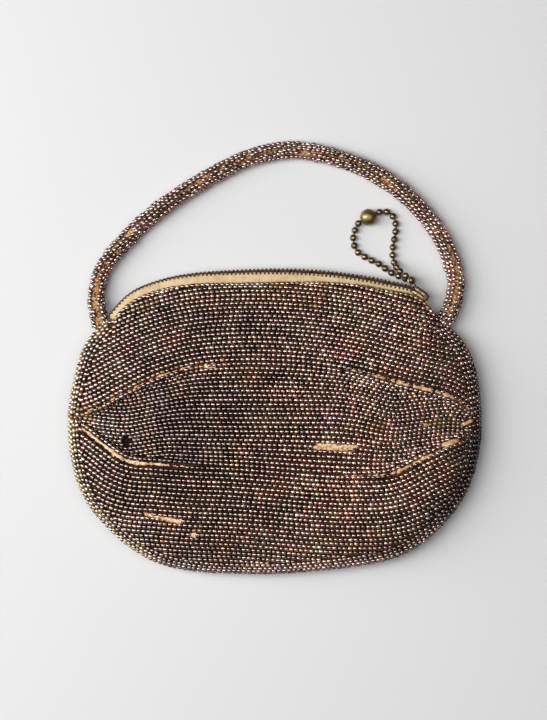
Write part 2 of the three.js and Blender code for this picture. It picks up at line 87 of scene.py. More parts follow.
def pathThrough(points, perSpan):
    # cubic on each span, its end slopes weighing the steps beside by the root of their lengths
    points = np.asarray(points, float)
    p = np.concatenate([[2 * points[0] - points[1]], points, [2 * points[-1] - points[-2]]])
    root = np.linalg.norm(np.diff(p, axis=0), axis=1)[:, None] ** 0.5
    a, b, c, d = p[:-3], p[1:-2], p[2:-1], p[3:]
    ra, rb, rc = root[:-2], root[1:-1], root[2:]
    leave = ((b - a) / ra - (c - a) / (ra + rb) + (c - b) / rb) * rb
    arrive = ((c - b) / rb - (d - b) / (rb + rc) + (d - c) / rc) * rb
    t = (np.arange(perSpan) / perSpan)[:, None, None]
    bend = (3 * (c - b) - 2 * leave - arrive) * t**2 + (2 * (b - c) + leave + arrive) * t**3
    line = np.swapaxes(b + leave * t + bend, 0, 1).reshape(-1, 3)
    return np.concatenate([line, points[-1:]])


def walked(line):
    # distance from the line's start to each of its points, step by step
    return np.concatenate([[0], np.cumsum(np.linalg.norm(np.diff(line, axis=0), axis=1))])


def placesOn(line, distances, look=0.05):
    # points at walked distances, and the direction from just before each to just after
    far = walked(line)
    before, here, after = (np.stack([np.interp(distances + step, far, axis) for axis in line.T], -1)
                           for step in (-look, 0, look))
    return here, unit(after - before)


def leftOf(line):
    # the way to the left of a plan line at each of its points: its direction turned by a right angle
    heading = unit(np.gradient(line, axis=0))
    return np.stack([-heading[:, 1], heading[:, 0]], -1)


def gapsTo(x, y, line):
    # distances in the plan from every point to every point of a line
    return np.linalg.norm(np.stack([x, y], -1)[:, None] - line[None], axis=-1)


def clouds(x, y, size, dice):
    # sum of eight waves of about one length in drawn directions, mostly between -1 and 1
    turn, phase = dice.uniform(0, 2 * np.pi, (2, 8, 1))
    length = size * dice.uniform(0.7, 1.5, (8, 1))
    return np.cos(2 * np.pi * (x * np.cos(turn) + y * np.sin(turn)) / length + phase).sum(0) / 3


def roundAngles(count):
    # angles of a full turn, evenly spaced
    return np.linspace(0, 2 * np.pi, count, endpoint=False)


def gridFaces(rows, columns, wrap=False, wrapRows=False):
    # four corners of every cell; wrap closes the columns into a ring, wrapRows the rows
    r = np.arange(rows if wrapRows else rows - 1)[:, None]
    c = np.arange(columns if wrap else columns - 1)[None, :]
    here, above = r * columns, (r + 1) % rows * columns
    right = (c + 1) % columns
    return np.stack([here + c, here + right, above + right, above + c], -1).reshape(-1, 4)


def tubeFaces(rings, sides):
    # rings joined into a wall, and a flat cap at each end
    ring = np.arange(sides)[None, :]
    caps = np.concatenate([ring[:, ::-1], ring + (rings - 1) * sides])
    return [gridFaces(rings, sides, wrap=True), caps]


def turned(faceSets):
    # the same faces looking the other way
    return [faces[:, ::-1] for faces in faceSets]


def shellFaces(rows, columns):
    # outer grid, inner grid turned round, and a strip that joins their borders
    outer = gridFaces(rows, columns)
    index = np.arange(rows * columns).reshape(rows, columns)
    rim = np.concatenate([index[0, :-1], index[:-1, -1], index[-1, :0:-1], index[:0:-1, 0]])
    ahead = np.roll(rim, -1)
    inside = rows * columns
    strip = np.stack([ahead, rim, rim + inside, ahead + inside], -1)
    return [outer, outer[:, ::-1] + inside, strip]


def putMesh(name, points, faceSets, finish, attributes=None, sharp=()):
    # vertices and face corners from whole arrays; face sets numbered in sharp stay flat
    mesh = bpy.data.meshes.new(name)
    corners = np.concatenate([np.ravel(faces) for faces in faceSets]).astype(np.int32)
    sizes = np.concatenate([np.full(len(faces), faces.shape[1]) for faces in faceSets])
    starts = np.concatenate([[0], np.cumsum(sizes)[:-1]]).astype(np.int32)
    soft = np.concatenate([np.full(len(faces), k not in sharp) for k, faces in enumerate(faceSets)])
    mesh.vertices.add(len(points))
    mesh.loops.add(len(corners))
    mesh.polygons.add(len(starts))
    mesh.vertices.foreach_set("co", (np.asarray(points) * mm).astype(np.float32).ravel())
    mesh.loops.foreach_set("vertex_index", corners)
    mesh.polygons.foreach_set("loop_start", starts)
    mesh.polygons.foreach_set("use_smooth", soft)
    for key, values in (attributes or {}).items():
        isColour = np.ndim(values) == 2
        layer = mesh.attributes.new(key, "FLOAT_COLOR" if isColour else "FLOAT", "POINT")
        layer.data.foreach_set("color" if isColour else "value", np.ravel(values).astype(np.float32))
    mesh.update(calc_edges=True)
    mesh.validate()
    mesh.materials.append(finish)
    piece = bpy.data.objects.new(name, mesh)
    bpy.context.scene.collection.objects.link(piece)
    return piece


def onPurse(piece, slot, *nodes):
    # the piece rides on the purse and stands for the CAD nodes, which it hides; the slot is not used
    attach(piece, "root")
    if nodes:
        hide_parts(*nodes)
    return piece


def copies(shape, faceSets, middles, axes):
    # one shape at many places: middle + x * first axis + y * second axis + z * third axis
    points = middles[:, None, :] + np.einsum("kj,njc->nkc", shape, axes)
    shift = (np.arange(len(middles)) * len(shape))[:, None, None]
    return points.reshape(-1, 3), [(shift + f).reshape(-1, f.shape[1]) for f in faceSets]


def ringedTube(line, distances, radii, sides):
    # circle of changing radius carried along a line; each ring's side is the last ring's side
    # with its part along the line taken out, so that the tube doesn't twist
    middles, along = placesOn(line, distances)
    side = np.empty_like(along)
    last = upward
    for ring, direction in enumerate(along):
        last = unit(last - direction * (last @ direction))
        side[ring] = last
    other = np.cross(along, side)
    angle = roundAngles(sides)[None, :, None]
    around = side[:, None] * np.cos(angle) + other[:, None] * np.sin(angle)
    points = (middles[:, None] + around * np.asarray(radii)[:, None, None]).reshape(-1, 3)
    return points, tubeFaces(len(distances), sides)


def feed(tree, socket, value):
    # a socket given as the value is linked, any other value is set
    if isinstance(value, bpy.types.NodeSocket):
        tree.links.new(value, socket)
    else:
        socket.default_value = value


def setInputs(tree, node, **inputs):
    # each named input fed with its value
    for key, value in inputs.items():
        feed(tree, node.inputs[key.replace("_", " ")], value)


def newFinish(name, **values):
    # principled material with its plain values set on the shader's own sockets
    finish = bpy.data.materials.new(name)
    finish.use_nodes = True
    shader = finish.node_tree.nodes["Principled BSDF"]
    setInputs(finish.node_tree, shader, **values)
    return finish, finish.node_tree, shader


def addNode(tree, kind, settings=None, **inputs):
    # node of a kind with its settings and its inputs
    node = tree.nodes.new("ShaderNode" + kind)
    for key, value in (settings or {}).items():
        setattr(node, key, value)
    setInputs(tree, node, **inputs)
    return node


def ownValue(tree, name):
    # a value that the mesh's points carry
    return addNode(tree, "Attribute", {"attribute_name": name}).outputs["Fac"]


def mixTints(tree, share, first, second):
    # colour from the first to the second by a share
    mix = addNode(tree, "Mix", {"data_type": "RGBA"})
    feed(tree, mix.inputs[0], share)
    for socket, tint in ((mix.inputs[6], first), (mix.inputs[7], second)):
        feed(tree, socket, tint if isinstance(tint, bpy.types.NodeSocket) else (*tint, 1))
    return mix.outputs[2]


def joined(tree, operation, first, second):
    # two values joined by a plain sum, product or the like
    node = addNode(tree, "Math", {"operation": operation})
    for socket, value in zip(node.inputs, (first, second)):
        feed(tree, socket, value)
    return node.outputs[0]


def spread(tree, value, fromLow, fromHigh, toLow, toHigh):
    # straight map of a value from one range to another, held at the ends
    return addNode(tree, "MapRange", None, Value=value, From_Min=fromLow, From_Max=fromHigh,
                   To_Min=toLow, To_Max=toHigh).outputs[0]


def noise(tree, scale, detail):
    # cloud of a given fineness over Object coordinates
    where = addNode(tree, "TexCoord").outputs["Object"]
    return addNode(tree, "TexNoise", None, Vector=where, Scale=scale, Detail=detail).outputs[0]


def cloudShare(tree, fine, detail, fromTo):
    # noise of a fineness and detail, mapped from one range to another
    return spread(tree, noise(tree, fine, detail), *fromTo)


def threads(tree, pitch, direction, **inputs):
    # ribs a thread apart across X or Y, rising and falling as a sine
    where = addNode(tree, "TexCoord").outputs["Object"]
    settings = {"wave_type": "BANDS", "bands_direction": direction}
    scale = 2 * np.pi / (20 * pitch * mm)  # the wave node turns by 20 for each unit of its scale
    return addNode(tree, "TexWave", settings, Vector=where, Scale=scale, **inputs).outputs[1]


def bumpFrom(tree, shader, height, depth, strength=1.0):
    # surface relief of a depth in millimetres from a height between 0 and 1
    bump = addNode(tree, "Bump", None, Height=height, Distance=depth * mm, Strength=strength)
    setInputs(tree, shader, Normal=bump.outputs[0])


beadFinish = {
    "metal": 0.9, "lustre": 2.6, "coat": 0.7, "coatLustre": 2.6, "coatRough": 0.1, "rough": (0.12, 0.5),
    # clouds: fineness, detail, and the map of their shares
    "tarnish": (2500, 2, (0.3, 0.7, -0.2, 0.2)),
}


def beadLustre(name):
    # metallic lustre over glass: each bead's own tint and gloss, with a fine tarnish
    form = beadFinish
    finish, tree, shader = newFinish(name, Metallic=form["metal"], IOR=form["lustre"],
                                     Coat_IOR=form["coatLustre"], Coat_Roughness=form["coatRough"])
    own = addNode(tree, "Attribute", {"attribute_name": "tint"}).outputs
    worn = joined(tree, "ADD", ownValue(tree, "dull"), cloudShare(tree, *form["tarnish"]))
    rough = spread(tree, worn, 0, 1, *form["rough"])
    setInputs(tree, shader, Base_Color=own["Color"], Coat_Weight=own["Alpha"], Roughness=rough)
    return finish


clothFinish = {
    "rough": 0.9, "sheen": 0.02, "shine": 0.08, "thread": 0.55, "threadDeep": 0.15,
    # under the beads the cloth is painted with their shade: dark, and brown where it is warm
    "bare": (0.92, 0.68, 0.44), "stained": (0.56, 0.28, 0.12), "shadeUnderBeads": (0.012, 0.005, 0.003),
    "brownShadeUnderBeads": (0.1, 0.043, 0.017),
    # clouds that stain the bare cloth and fray its border, then the maps of the weave and of the border
    "stains": (600, 4, (0.4, 0.62, -0.5, 0.8)), "frays": (900, 3, (0.3, 0.7, -0.45, 0.4)),
    "weaveShade": (0, 0.5, 0, 0.3), "border": (0.3, 0.7, 0, 1),
}


def wovenCloth(name):
    # plain weave: ribs across times ribs along, tan where beads are gone; under them painted shade, dark to
    # brown
    form = clothFinish
    finish, tree, shader = newFinish(name, Roughness=form["rough"], Sheen_Weight=form["sheen"],
                                     Specular_IOR_Level=form["shine"])
    warm = ownValue(tree, "warm")
    weave = joined(tree, "MULTIPLY", *(threads(tree, form["thread"], way) for way in "XY"))
    stains = joined(tree, "ADD", cloudShare(tree, *form["stains"]), warm)
    tan = mixTints(tree, spread(tree, stains, 0, 1, 0, 1), form["bare"], form["stained"])
    shaded = mixTints(tree, spread(tree, weave, *form["weaveShade"]), tan, form["stained"])
    # painted shade between the beads, from dark to brown by the cloth's warm share
    shadeUnderBeads = mixTints(tree, warm, form["shadeUnderBeads"], form["brownShadeUnderBeads"])
    frayed = joined(tree, "ADD", ownValue(tree, "bare"), cloudShare(tree, *form["frays"]))
    setInputs(tree, shader, Base_Color=mixTints(tree, spread(tree, frayed, *form["border"]), shadeUnderBeads, shaded))
    bumpFrom(tree, shader, weave, form["threadDeep"])
    return finish


tapeFinish = {
    "rough": 0.8, "sheen": 0.1, "thread": 0.7, "crossThread": 0.98, "threadDeep": 0.08,
    "waver": 0.4, "clean": (0.67, 0.495, 0.28), "aged": (0.53, 0.37, 0.195),
    "yellowed": (220, 4, (0.4, 0.65, 0, 1)), "ribShade": (0, 1, 0, 0.25),
}


def tapeCloth(name):
    # ribbed tape: ribs along its length, yellowed in clouds
    form = tapeFinish
    finish, tree, shader = newFinish(name, Roughness=form["rough"], Sheen_Weight=form["sheen"])
    ribs = threads(tree, form["thread"], "X", Distortion=form["waver"])
    cross = threads(tree, form["crossThread"], "Y")
    tint = mixTints(tree, cloudShare(tree, *form["yellowed"]), form["clean"], form["aged"])
    tint = mixTints(tree, spread(tree, ribs, *form["ribShade"]), tint, form["aged"])
    setInputs(tree, shader, Base_Color=tint)
    bumpFrom(tree, shader, joined(tree, "ADD", ribs, cross), form["threadDeep"])
    return finish


metalFinish = {
    "metal": 0.95, "tarnish": (5, (0.38, 0.66, 0, 1)),
    # pits: how much finer than the tarnish, detail, depth, strength
    "pits": (6, 3, 0.05, 0.5),
    # bright tint, tarnished tint, roughness of each, fineness of the tarnish
    "kinds": {
        "teeth_bronze": ((0.065, 0.036, 0.017), (0.017, 0.009, 0.005), 0.3, 0.55, 900),
        "slider_brass": ((0.36, 0.26, 0.14), (0.13, 0.085, 0.045), 0.28, 0.5, 500),
        "chain_brass": ((0.27, 0.21, 0.12), (0.075, 0.056, 0.032), 0.25, 0.5, 600),
        "ball_brass": ((0.4, 0.31, 0.13), (0.18, 0.135, 0.055), 0.35, 0.55, 350),
    },
}


def agedMetal(name):
    # old brass: bright metal under clouds of tarnish, rougher where it is dark, with fine pits
    bright, tarnished, smooth, rough, fine = metalFinish["kinds"][name]
    finer, detail, deep, strength = metalFinish["pits"]
    finish, tree, shader = newFinish(name, Metallic=metalFinish["metal"])
    tarnish = cloudShare(tree, fine, *metalFinish["tarnish"])
    setInputs(tree, shader, Base_Color=mixTints(tree, tarnish, bright, tarnished),
              Roughness=spread(tree, tarnish, 0, 1, smooth, rough))
    bumpFrom(tree, shader, noise(tree, fine * finer, detail), deep, strength)
    return finish


beadedFinish = beadLustre("bead_lustre")
clothTan = wovenCloth("purse_cloth")
tapeTan = tapeCloth("zip_tape_cloth")
teethBronze, sliderBrass, chainBrass, ballBrass = (agedMetal(name) for name in metalFinish["kinds"])
print("finishes made")


view = {"height": 1.0, "centre": (-0.0006, -0.0016), "acrossLong": 0.3485, "level": 0.008, "sensor": 36.0}
camera = bpy.data.objects.new("camera", bpy.data.cameras.new("camera"))
bpy.context.scene.collection.objects.link(camera)
camera.data.sensor_width = view["sensor"]
camera.data.lens = view["sensor"] * (view["height"] - view["level"]) / view["acrossLong"]
camera.location = (*view["centre"], view["height"])  # straight down, the photo's upper edge to +Y
bpy.context.scene.camera = camera
bpy.context.scene.view_settings.view_transform = "Standard"

studio = {
    "floorHalf": 3, "floorTints": ((0.64, 0.64, 0.64), (0.6304, 0.6304, 0.6304)), "floorRough": 0.9,
    "floorGrain": (900, 2, (0.3, 0.7, 0, 1)),
    # strength of the sky at the horizon and above it, and between what rises it fades
    "sky": (0.6, 0.005), "skyFade": (0.02, 0.16),
    # where a soft box hangs, what it points at, its width, its length along Y, its power
    "boxes": {
        "window_light": ((-0.9, 0.1, 0.75), (0, 0, 0), 0.5, 2.2, 23.7),
        "ceiling_light": ((-0.25, 0, 1.3), (0, 0, 0), 0.8, 2.4, 14.1),
    },
}


def softBox(name, place, target, width, length, power):
    # oblong light turned so that its face looks at the target, its long side to Y
    lamp = bpy.data.objects.new(name, bpy.data.lights.new(name, "AREA"))
    lamp.data.shape = "RECTANGLE"
    lamp.data.size = width
    lamp.data.size_y = length
    lamp.data.energy = power
    lamp.location = place
    lamp.rotation_euler = (Vector(target) - Vector(place)).to_track_quat("-Z", "Y").to_euler()
    bpy.context.scene.collection.objects.link(lamp)


for name, box in studio["boxes"].items():
    softBox(name, *box)
room = bpy.data.worlds.new("room")
room.use_nodes = True
# pale at the horizon, dim above it, so that the soft boxes alone show in the beads
skyWay = addNode(room.node_tree, "TexCoord").outputs["Generated"]
skyRise = addNode(room.node_tree, "SeparateXYZ", None, Vector=skyWay).outputs["Z"]
skyGlow = spread(room.node_tree, skyRise, *studio["skyFade"], *studio["sky"])
setInputs(room.node_tree, room.node_tree.nodes["Background"], Strength=skyGlow)
bpy.context.scene.world = room
floorFinish, floorTree, floorShader = newFinish("floor_paper", Roughness=studio["floorRough"])
grain = cloudShare(floorTree, *studio["floorGrain"])
setInputs(floorTree, floorShader, Base_Color=mixTints(floorTree, grain, *studio["floorTints"]))
half = studio["floorHalf"] / mm
floorCorners = np.array([[-half, -half, 0], [half, -half, 0], [half, half, 0], [-half, half, 0]])
floor = putMesh("floor", floorCorners, [np.array([[0, 1, 2, 3]])], floorFinish)
print("camera, light and floor made")


pouch = {
    "halfWidth": 99.9, "crown": 26, "seam": 8, "seamGap": 0.3,
    # domes by power and root; the back's is raised by a factor and cut flat
    "zipSideDome": (1.9, 0.6), "lowerDome": (2.6, 0.5), "acrossDome": (2.6, 0.5),
    "backDome": (4, 0.5), "backFlat": 1.15,
    # folds: step down from a lip, its share of a narrow eye, its least width, the lip's rise and spread
    "foldStep": 2.4, "narrowStep": 0.3, "leastStep": 0.02, "lipRise": 0.3, "lipSpread": 9,
    # places of the mouth's two corners, and how far from them the tape reaches its full width
    "mouth": (3.05, 12.95, 0.35),
    # upright sections from left to right: top, zip tape, upper fold, lower fold, bottom, tuck
    "sections": [
        (-31.1, 0, -31.1, -31.1, -31.1, 0),
        (-15.1, 0, -28.7, -32.5, -50.9, 0.2),
        (5.4, 0, -26.5, -34, -68.1, 0.34),
        (16.8, 4.6, -22.9, -40.5, -80.2, 0.36),
        (30.4, 4.7, -16.3, -48.8, -91.8, 0.3),
        (37.1, 4.5, -9.3, -50.5, -100.1, 0.17),
        (40.4, 5.2, -4.2, -51.7, -103.6, 0.06),
        (41.6, 6, -2.5, -52.4, -104.7, 0),
        (42.2, 6.2, -2.5, -53.8, -104.8, 0),
        (41.6, 5.4, -4, -55.5, -103.5, 0.01),
        (39.5, 4.4, -7.1, -56.3, -101.4, 0.06),
        (36.3, 4.2, -11.7, -55.3, -98.1, 0.15),
        (31.6, 3.6, -15.6, -48.3, -91.1, 0.24),
        (16.6, 3.4, -19, -42.5, -79.3, 0.3),
        (6.4, 0, -24.8, -38.4, -66.4, 0.3),
        (-9.3, 0, -29.2, -33.5, -49.7, 0.18),
        (-31.1, 0, -31.1, -31.1, -31.1, 0),
    ],
    # hollows pressed into the front: x, y, width, height, depth; they fade where the dome is low
    "hollows": [(-69, -38.8, 5, 4, 1.6), (60.1, -28.2, 5, 3.5, 1.2), (-36, -26, 16, 11, 1)],
    "hollowRise": 6,
    # cloth: how far under the outside, its wall, the columns and rows of its grid, which stops short of the
    # pouch's two points, where a section has no height, and crowds at the outline and along the lips
    "clothSink": 1.2, "clothWall": 1, "columns": {frontSide: 221, backSide: 141}, "endPlace": 0.03,
    "lipWide": 3, "rowCounts": (40, 9, 6, 29, 6, 9, 34), "crowding": 1.7, "backRowCount": 61,
}
lastSection = len(pouch["sections"]) - 1
middleSection = pouch["sections"][lastSection // 2]
middleHalf = (middleSection[0] - middleSection[4]) / 2


def placeOf(x):
    # place along the sections for a distance across: the outline's columns lie on a cosine
    return np.arccos(np.clip(-x / pouch["halfWidth"], -1, 1)) * lastSection / np.pi


def sectionAt(place):
    # the table's columns at any place, with the tape faded out at the mouth's corners
    top, tape, upper, lower, bottom, tuck = np.moveaxis(splineThrough(pouch["sections"], place), -1, 0)
    start, end, corner = pouch["mouth"]
    tape = tape * easeIn(np.minimum(place - start, end - place) / corner)
    return {"x": -pouch["halfWidth"] * np.cos(np.pi * place / lastSection), "top": top, "tape": tape,
            "edge": top - tape, "upper": upper, "lower": lower, "bottom": bottom,
            "tuck": np.maximum(tuck, 0), "middle": (top + bottom) / 2, "half": (top - bottom) / 2}


def setIn(inset):
    # how far the pouch's sizes shrink when a surface lies under its outside
    rise = pouch["crown"] - pouch["seam"]
    return {"across": (pouch["halfWidth"] - inset) / pouch["halfWidth"],
            "along": (middleHalf - inset) / middleHalf, "up": (rise - inset) / rise,
            "down": (pouch["seam"] - inset) / pouch["seam"]}


clothShrink = setIn(pouch["clothSink"])


def drawnIn(cut, y, shrink=clothShrink):
    # y on a surface that is set in: its distance from the section's middle shrunk
    return cut["middle"] + (y - cut["middle"]) * shrink["along"]


def dome(across, form):
    # (1 - |t|^power)^root
    return np.maximum(0, 1 - np.abs(across) ** form[0]) ** form[1]


def stepWide(cut):
    # width of the step down from a lip: its full width, or a share of the eye where that is narrow
    return np.minimum(pouch["foldStep"], pouch["narrowStep"] * (cut["upper"] - cut["lower"]))


def frontRise(cut, y):
    # dome over the seam, dropped between the fold lines, raised at their lips, pressed in at hollows
    along = (y - cut["middle"]) / np.maximum(cut["half"], tiny)
    rounded = np.where(along > 0, dome(along, pouch["zipSideDome"]), dome(along, pouch["lowerDome"]))
    across = dome(cut["x"] / pouch["halfWidth"], pouch["acrossDome"])
    rise = (pouch["crown"] - pouch["seam"]) * across * rounded
    step = np.maximum(stepWide(cut), pouch["leastStep"])
    inTuck = between(y, cut["lower"], step, cut["upper"], step)
    off = np.where(y > cut["upper"], y - cut["upper"], np.maximum(cut["lower"] - y, 0)) / pouch["lipSpread"]
    lip = pouch["lipRise"] * (1 - inTuck) * np.exp(-off * off)
    sunk = sum(depth * spotShare(cut["x"], y, spot) for *spot, depth in pouch["hollows"])
    sunk = sunk * np.minimum(1, rise / pouch["hollowRise"])
    return rise * (1 - cut["tuck"] * inTuck + cut["tuck"] * lip) - sunk


def backDrop(cut, y):
    # flat-bottomed dome under the seam
    along = (y - cut["middle"]) / np.maximum(cut["half"], tiny)
    across = dome(cut["x"] / pouch["halfWidth"], pouch["backDome"])
    return pouch["seam"] * np.minimum(1, pouch["backFlat"] * across * dome(along, pouch["backDome"]))


def panelHeight(side, cut, y, shrink):
    # front: the dome over the seam and half the seam's gap; back: the drop under it, at least half the gap
    halfGap = pouch["seamGap"] / 2
    if side == frontSide:
        return pouch["seam"] + halfGap + frontRise(cut, y) * shrink["up"]
    return pouch["seam"] - np.maximum(halfGap, backDrop(cut, y) * shrink["down"])


def heightOver(side, x, y, inset=pouch["clothSink"]):
    # height of a panel's surface, set in by a depth, straight over or under a point of the plan
    shrink = setIn(inset)
    cut = sectionAt(placeOf(x / shrink["across"]))
    y = cut["middle"] + (y - cut["middle"]) / shrink["along"]
    return panelHeight(side, cut, y, shrink)


bareCloth = {
    # spots where beads are gone and the cloth is bare: x, y, half length, half width, turn in degrees
    "spots": [
        (28.8, -43, 11.2, 1.2, -1.8),
        (-48.5, -78.3, 4.6, 1.25, -10),
        (-57, -76.2, 5.5, 0.75, -12),
        (-31.4, -5, 2.8, 0.8, -8),
        (92.3, -31.9, 3.6, 0.9, 22),
        (84, -41.2, 4.4, 1, 16),
        (71.5, -32.4, 2.6, 0.75, -22),
        (-38.6, -85.2, 1.3, 1.2, 0),
    ],
    # pits where beads have sunk out of sight, leaving the dark painted shade of the cloth under them
    "pits": [(-70.6, -40.5, 1.4, 3.4, 15)],
    "spotFade": (0.75, 0.5),
    # half width of each fold's bare lip, from its left end to its right end
    "upperFold": (0, 0.45, 0.5, 0.65, 0.4, 0, 0, 0, 0.35, 0.95, 1.35, 1.2, 0),
    "lowerFold": (0, 1.3, 1.2, 0.5, 0.1, 0, 0, 0, 0.3, 0.8, 1.4, 0.5, 0),
    # how far outside the fold the lip's middle lies, in its left half and in its right half
    "upperFoldOut": (-0.3, 0.5), "lowerFoldOut": (0.8, 0.5),
    # how whole the bare lip is in the same halves: beads cross it where the waves of its edge meet
    "upperFoldWhole": (0.42, 0.55), "lowerFoldWhole": (0.72, 0.52),
    # waves of the lip's edge: height, turn for each millimetre, start; their strength, and the widest lip
    "waves": [(0.4, 0.55, 0), (0.4, 1.7, 1), (0.35, 3.1, 2)],
    "ragged": 1.6, "widest": 1.2, "foldFade": (0.7, 0.6), "thinFade": 0.4, "lift": 1.3,
    # how far the painted shade under the beads turns from dark to brown: all over, in clouds, in spots by x,
    # y, width, height, how much; spots below 0 keep it dark, painted shade in the pit and the sunken left of
    # the eye
    "warm": 0.15, "warmClouds": (0.25, 26), "warmSeed": 5,
    "warmSpots": [(75, -40, 34, 60, 0.5), (15, -95, 60, 12, 0.5), (-42, -26, 26, 15, -0.6),
                  (-70, 5, 18, 12, 0.4), (-58, -13, 30, 8, 0.6), (-70.6, -40.5, 4, 6, -1)],
}


def inOvals(x, y, table):
    # 1 inside any of the turned ovals with flattened sides, fading over the border
    share = np.zeros_like(x)
    for x0, y0, long, wide, turn in table:
        c, s = np.cos(np.radians(turn)), np.sin(np.radians(turn))
        u, v = (x - x0) * c + (y - y0) * s, (y - y0) * c - (x - x0) * s
        off = ((u / long) ** 4 + (v / wide) ** 4) ** 0.25
        share = np.maximum(share, 1 - rising(off, *bareCloth["spotFade"]))
    return share


def foldShare(x, y):
    # 1 along a fold's lip, fading at the lip's half width, which three waves make ragged
    cut = sectionAt(placeOf(x))
    across = (x / pouch["halfWidth"] + 1) / 2 * (len(bareCloth["upperFold"]) - 1)
    waves = sum(high * np.sin(x * often + start) for high, often, start in bareCloth["waves"])
    share = np.zeros_like(x)
    for fold, way, key in ((cut["upper"], 1, "upperFold"), (cut["lower"], -1, "lowerFold")):
        out, whole = (np.where(x < 0, *bareCloth[key + about]) for about in ("Out", "Whole"))
        wide = np.interp(across, np.arange(len(bareCloth[key])), bareCloth[key])
        wide = wide * (whole + bareCloth["ragged"] * (1 - whole) * waves).clip(0, bareCloth["widest"])
        off = np.abs(y - (fold + way * out)) / np.maximum(wide, tiny)
        inLip = (1 - rising(off, *bareCloth["foldFade"])) * easeIn(wide / bareCloth["thinFade"])
        share = np.maximum(share, inLip)
    return share


def frontRows(cut):
    # rows crowded at the outline, along the two lips and in the two fold steps
    step = stepWide(cut)
    lowLip, highLip = (np.minimum(pouch["lipWide"], pouch["narrowStep"] * band)
                       for band in (cut["lower"] - cut["bottom"], cut["edge"] - cut["upper"]))
    stops = [cut["bottom"], cut["lower"] - lowLip, cut["lower"], cut["lower"] + step, cut["upper"] - step,
             cut["upper"], cut["upper"] + highLip, cut["edge"]]
    rows = [stops[0]]
    for span, count in enumerate(pouch["rowCounts"]):
        t = np.linspace(0, 1, count + 1)[1:, None]
        if span == 0:
            t = t ** pouch["crowding"]
        elif span == len(stops) - 2:
            t = 1 - (1 - t) ** pouch["crowding"]
        rows.append(stops[span] + (stops[span + 1] - stops[span]) * t)
    return np.concatenate(rows)


def backRows(cut):
    # rows crowded at both edges on a cosine
    t = (1 - np.cos(np.linspace(0, np.pi, pouch["backRowCount"])))[:, None] / 2
    return cut["bottom"] + (cut["edge"] - cut["bottom"]) * t


def clothShell(name, side):
    # two nested surfaces of the pouch's sections, joined round their borders into a thin wall
    places = np.linspace(pouch["endPlace"], lastSection - pouch["endPlace"], pouch["columns"][side])
    cut = {key: values[None, :] for key, values in sectionAt(places).items()}
    y = frontRows(cut) if side == frontSide else backRows(cut)
    layers = []
    for inset in (pouch["clothSink"], pouch["clothSink"] + pouch["clothWall"]):
        shrink = setIn(inset)
        x = np.broadcast_to(cut["x"] * shrink["across"], y.shape)
        layers.append(np.stack([x, drawnIn(cut, y, shrink), panelHeight(side, cut, y, shrink)], -1))
    points = np.concatenate([layer.reshape(-1, 3) for layer in layers])
    faces = shellFaces(*y.shape)
    x, y = points[:, 0], points[:, 1]
    bare = np.zeros(len(points))
    if side == backSide:
        faces = turned(faces)
    else:
        bare = np.maximum(inOvals(x, y, bareCloth["spots"]), foldShare(x, y))
        points[:, 2] += bareCloth["lift"] * bare  # bare cloth swells up between the beads
    much, size = bareCloth["warmClouds"]
    warm = bareCloth["warm"] + much * clouds(x, y, size, np.random.default_rng(bareCloth["warmSeed"]))
    warm += sum(more * spotShare(x, y, spot) for *spot, more in bareCloth["warmSpots"])
    return putMesh(name, points, faces, clothTan, {"bare": bare, "warm": warm.clip(0, 1)})


frontCloth = onPurse(clothShell("front_cloth", frontSide), "beaded_cloth", "front_panel")
backCloth = onPurse(clothShell("back_cloth", backSide), "beaded_cloth", "back_panel")
print("cloth panels made")


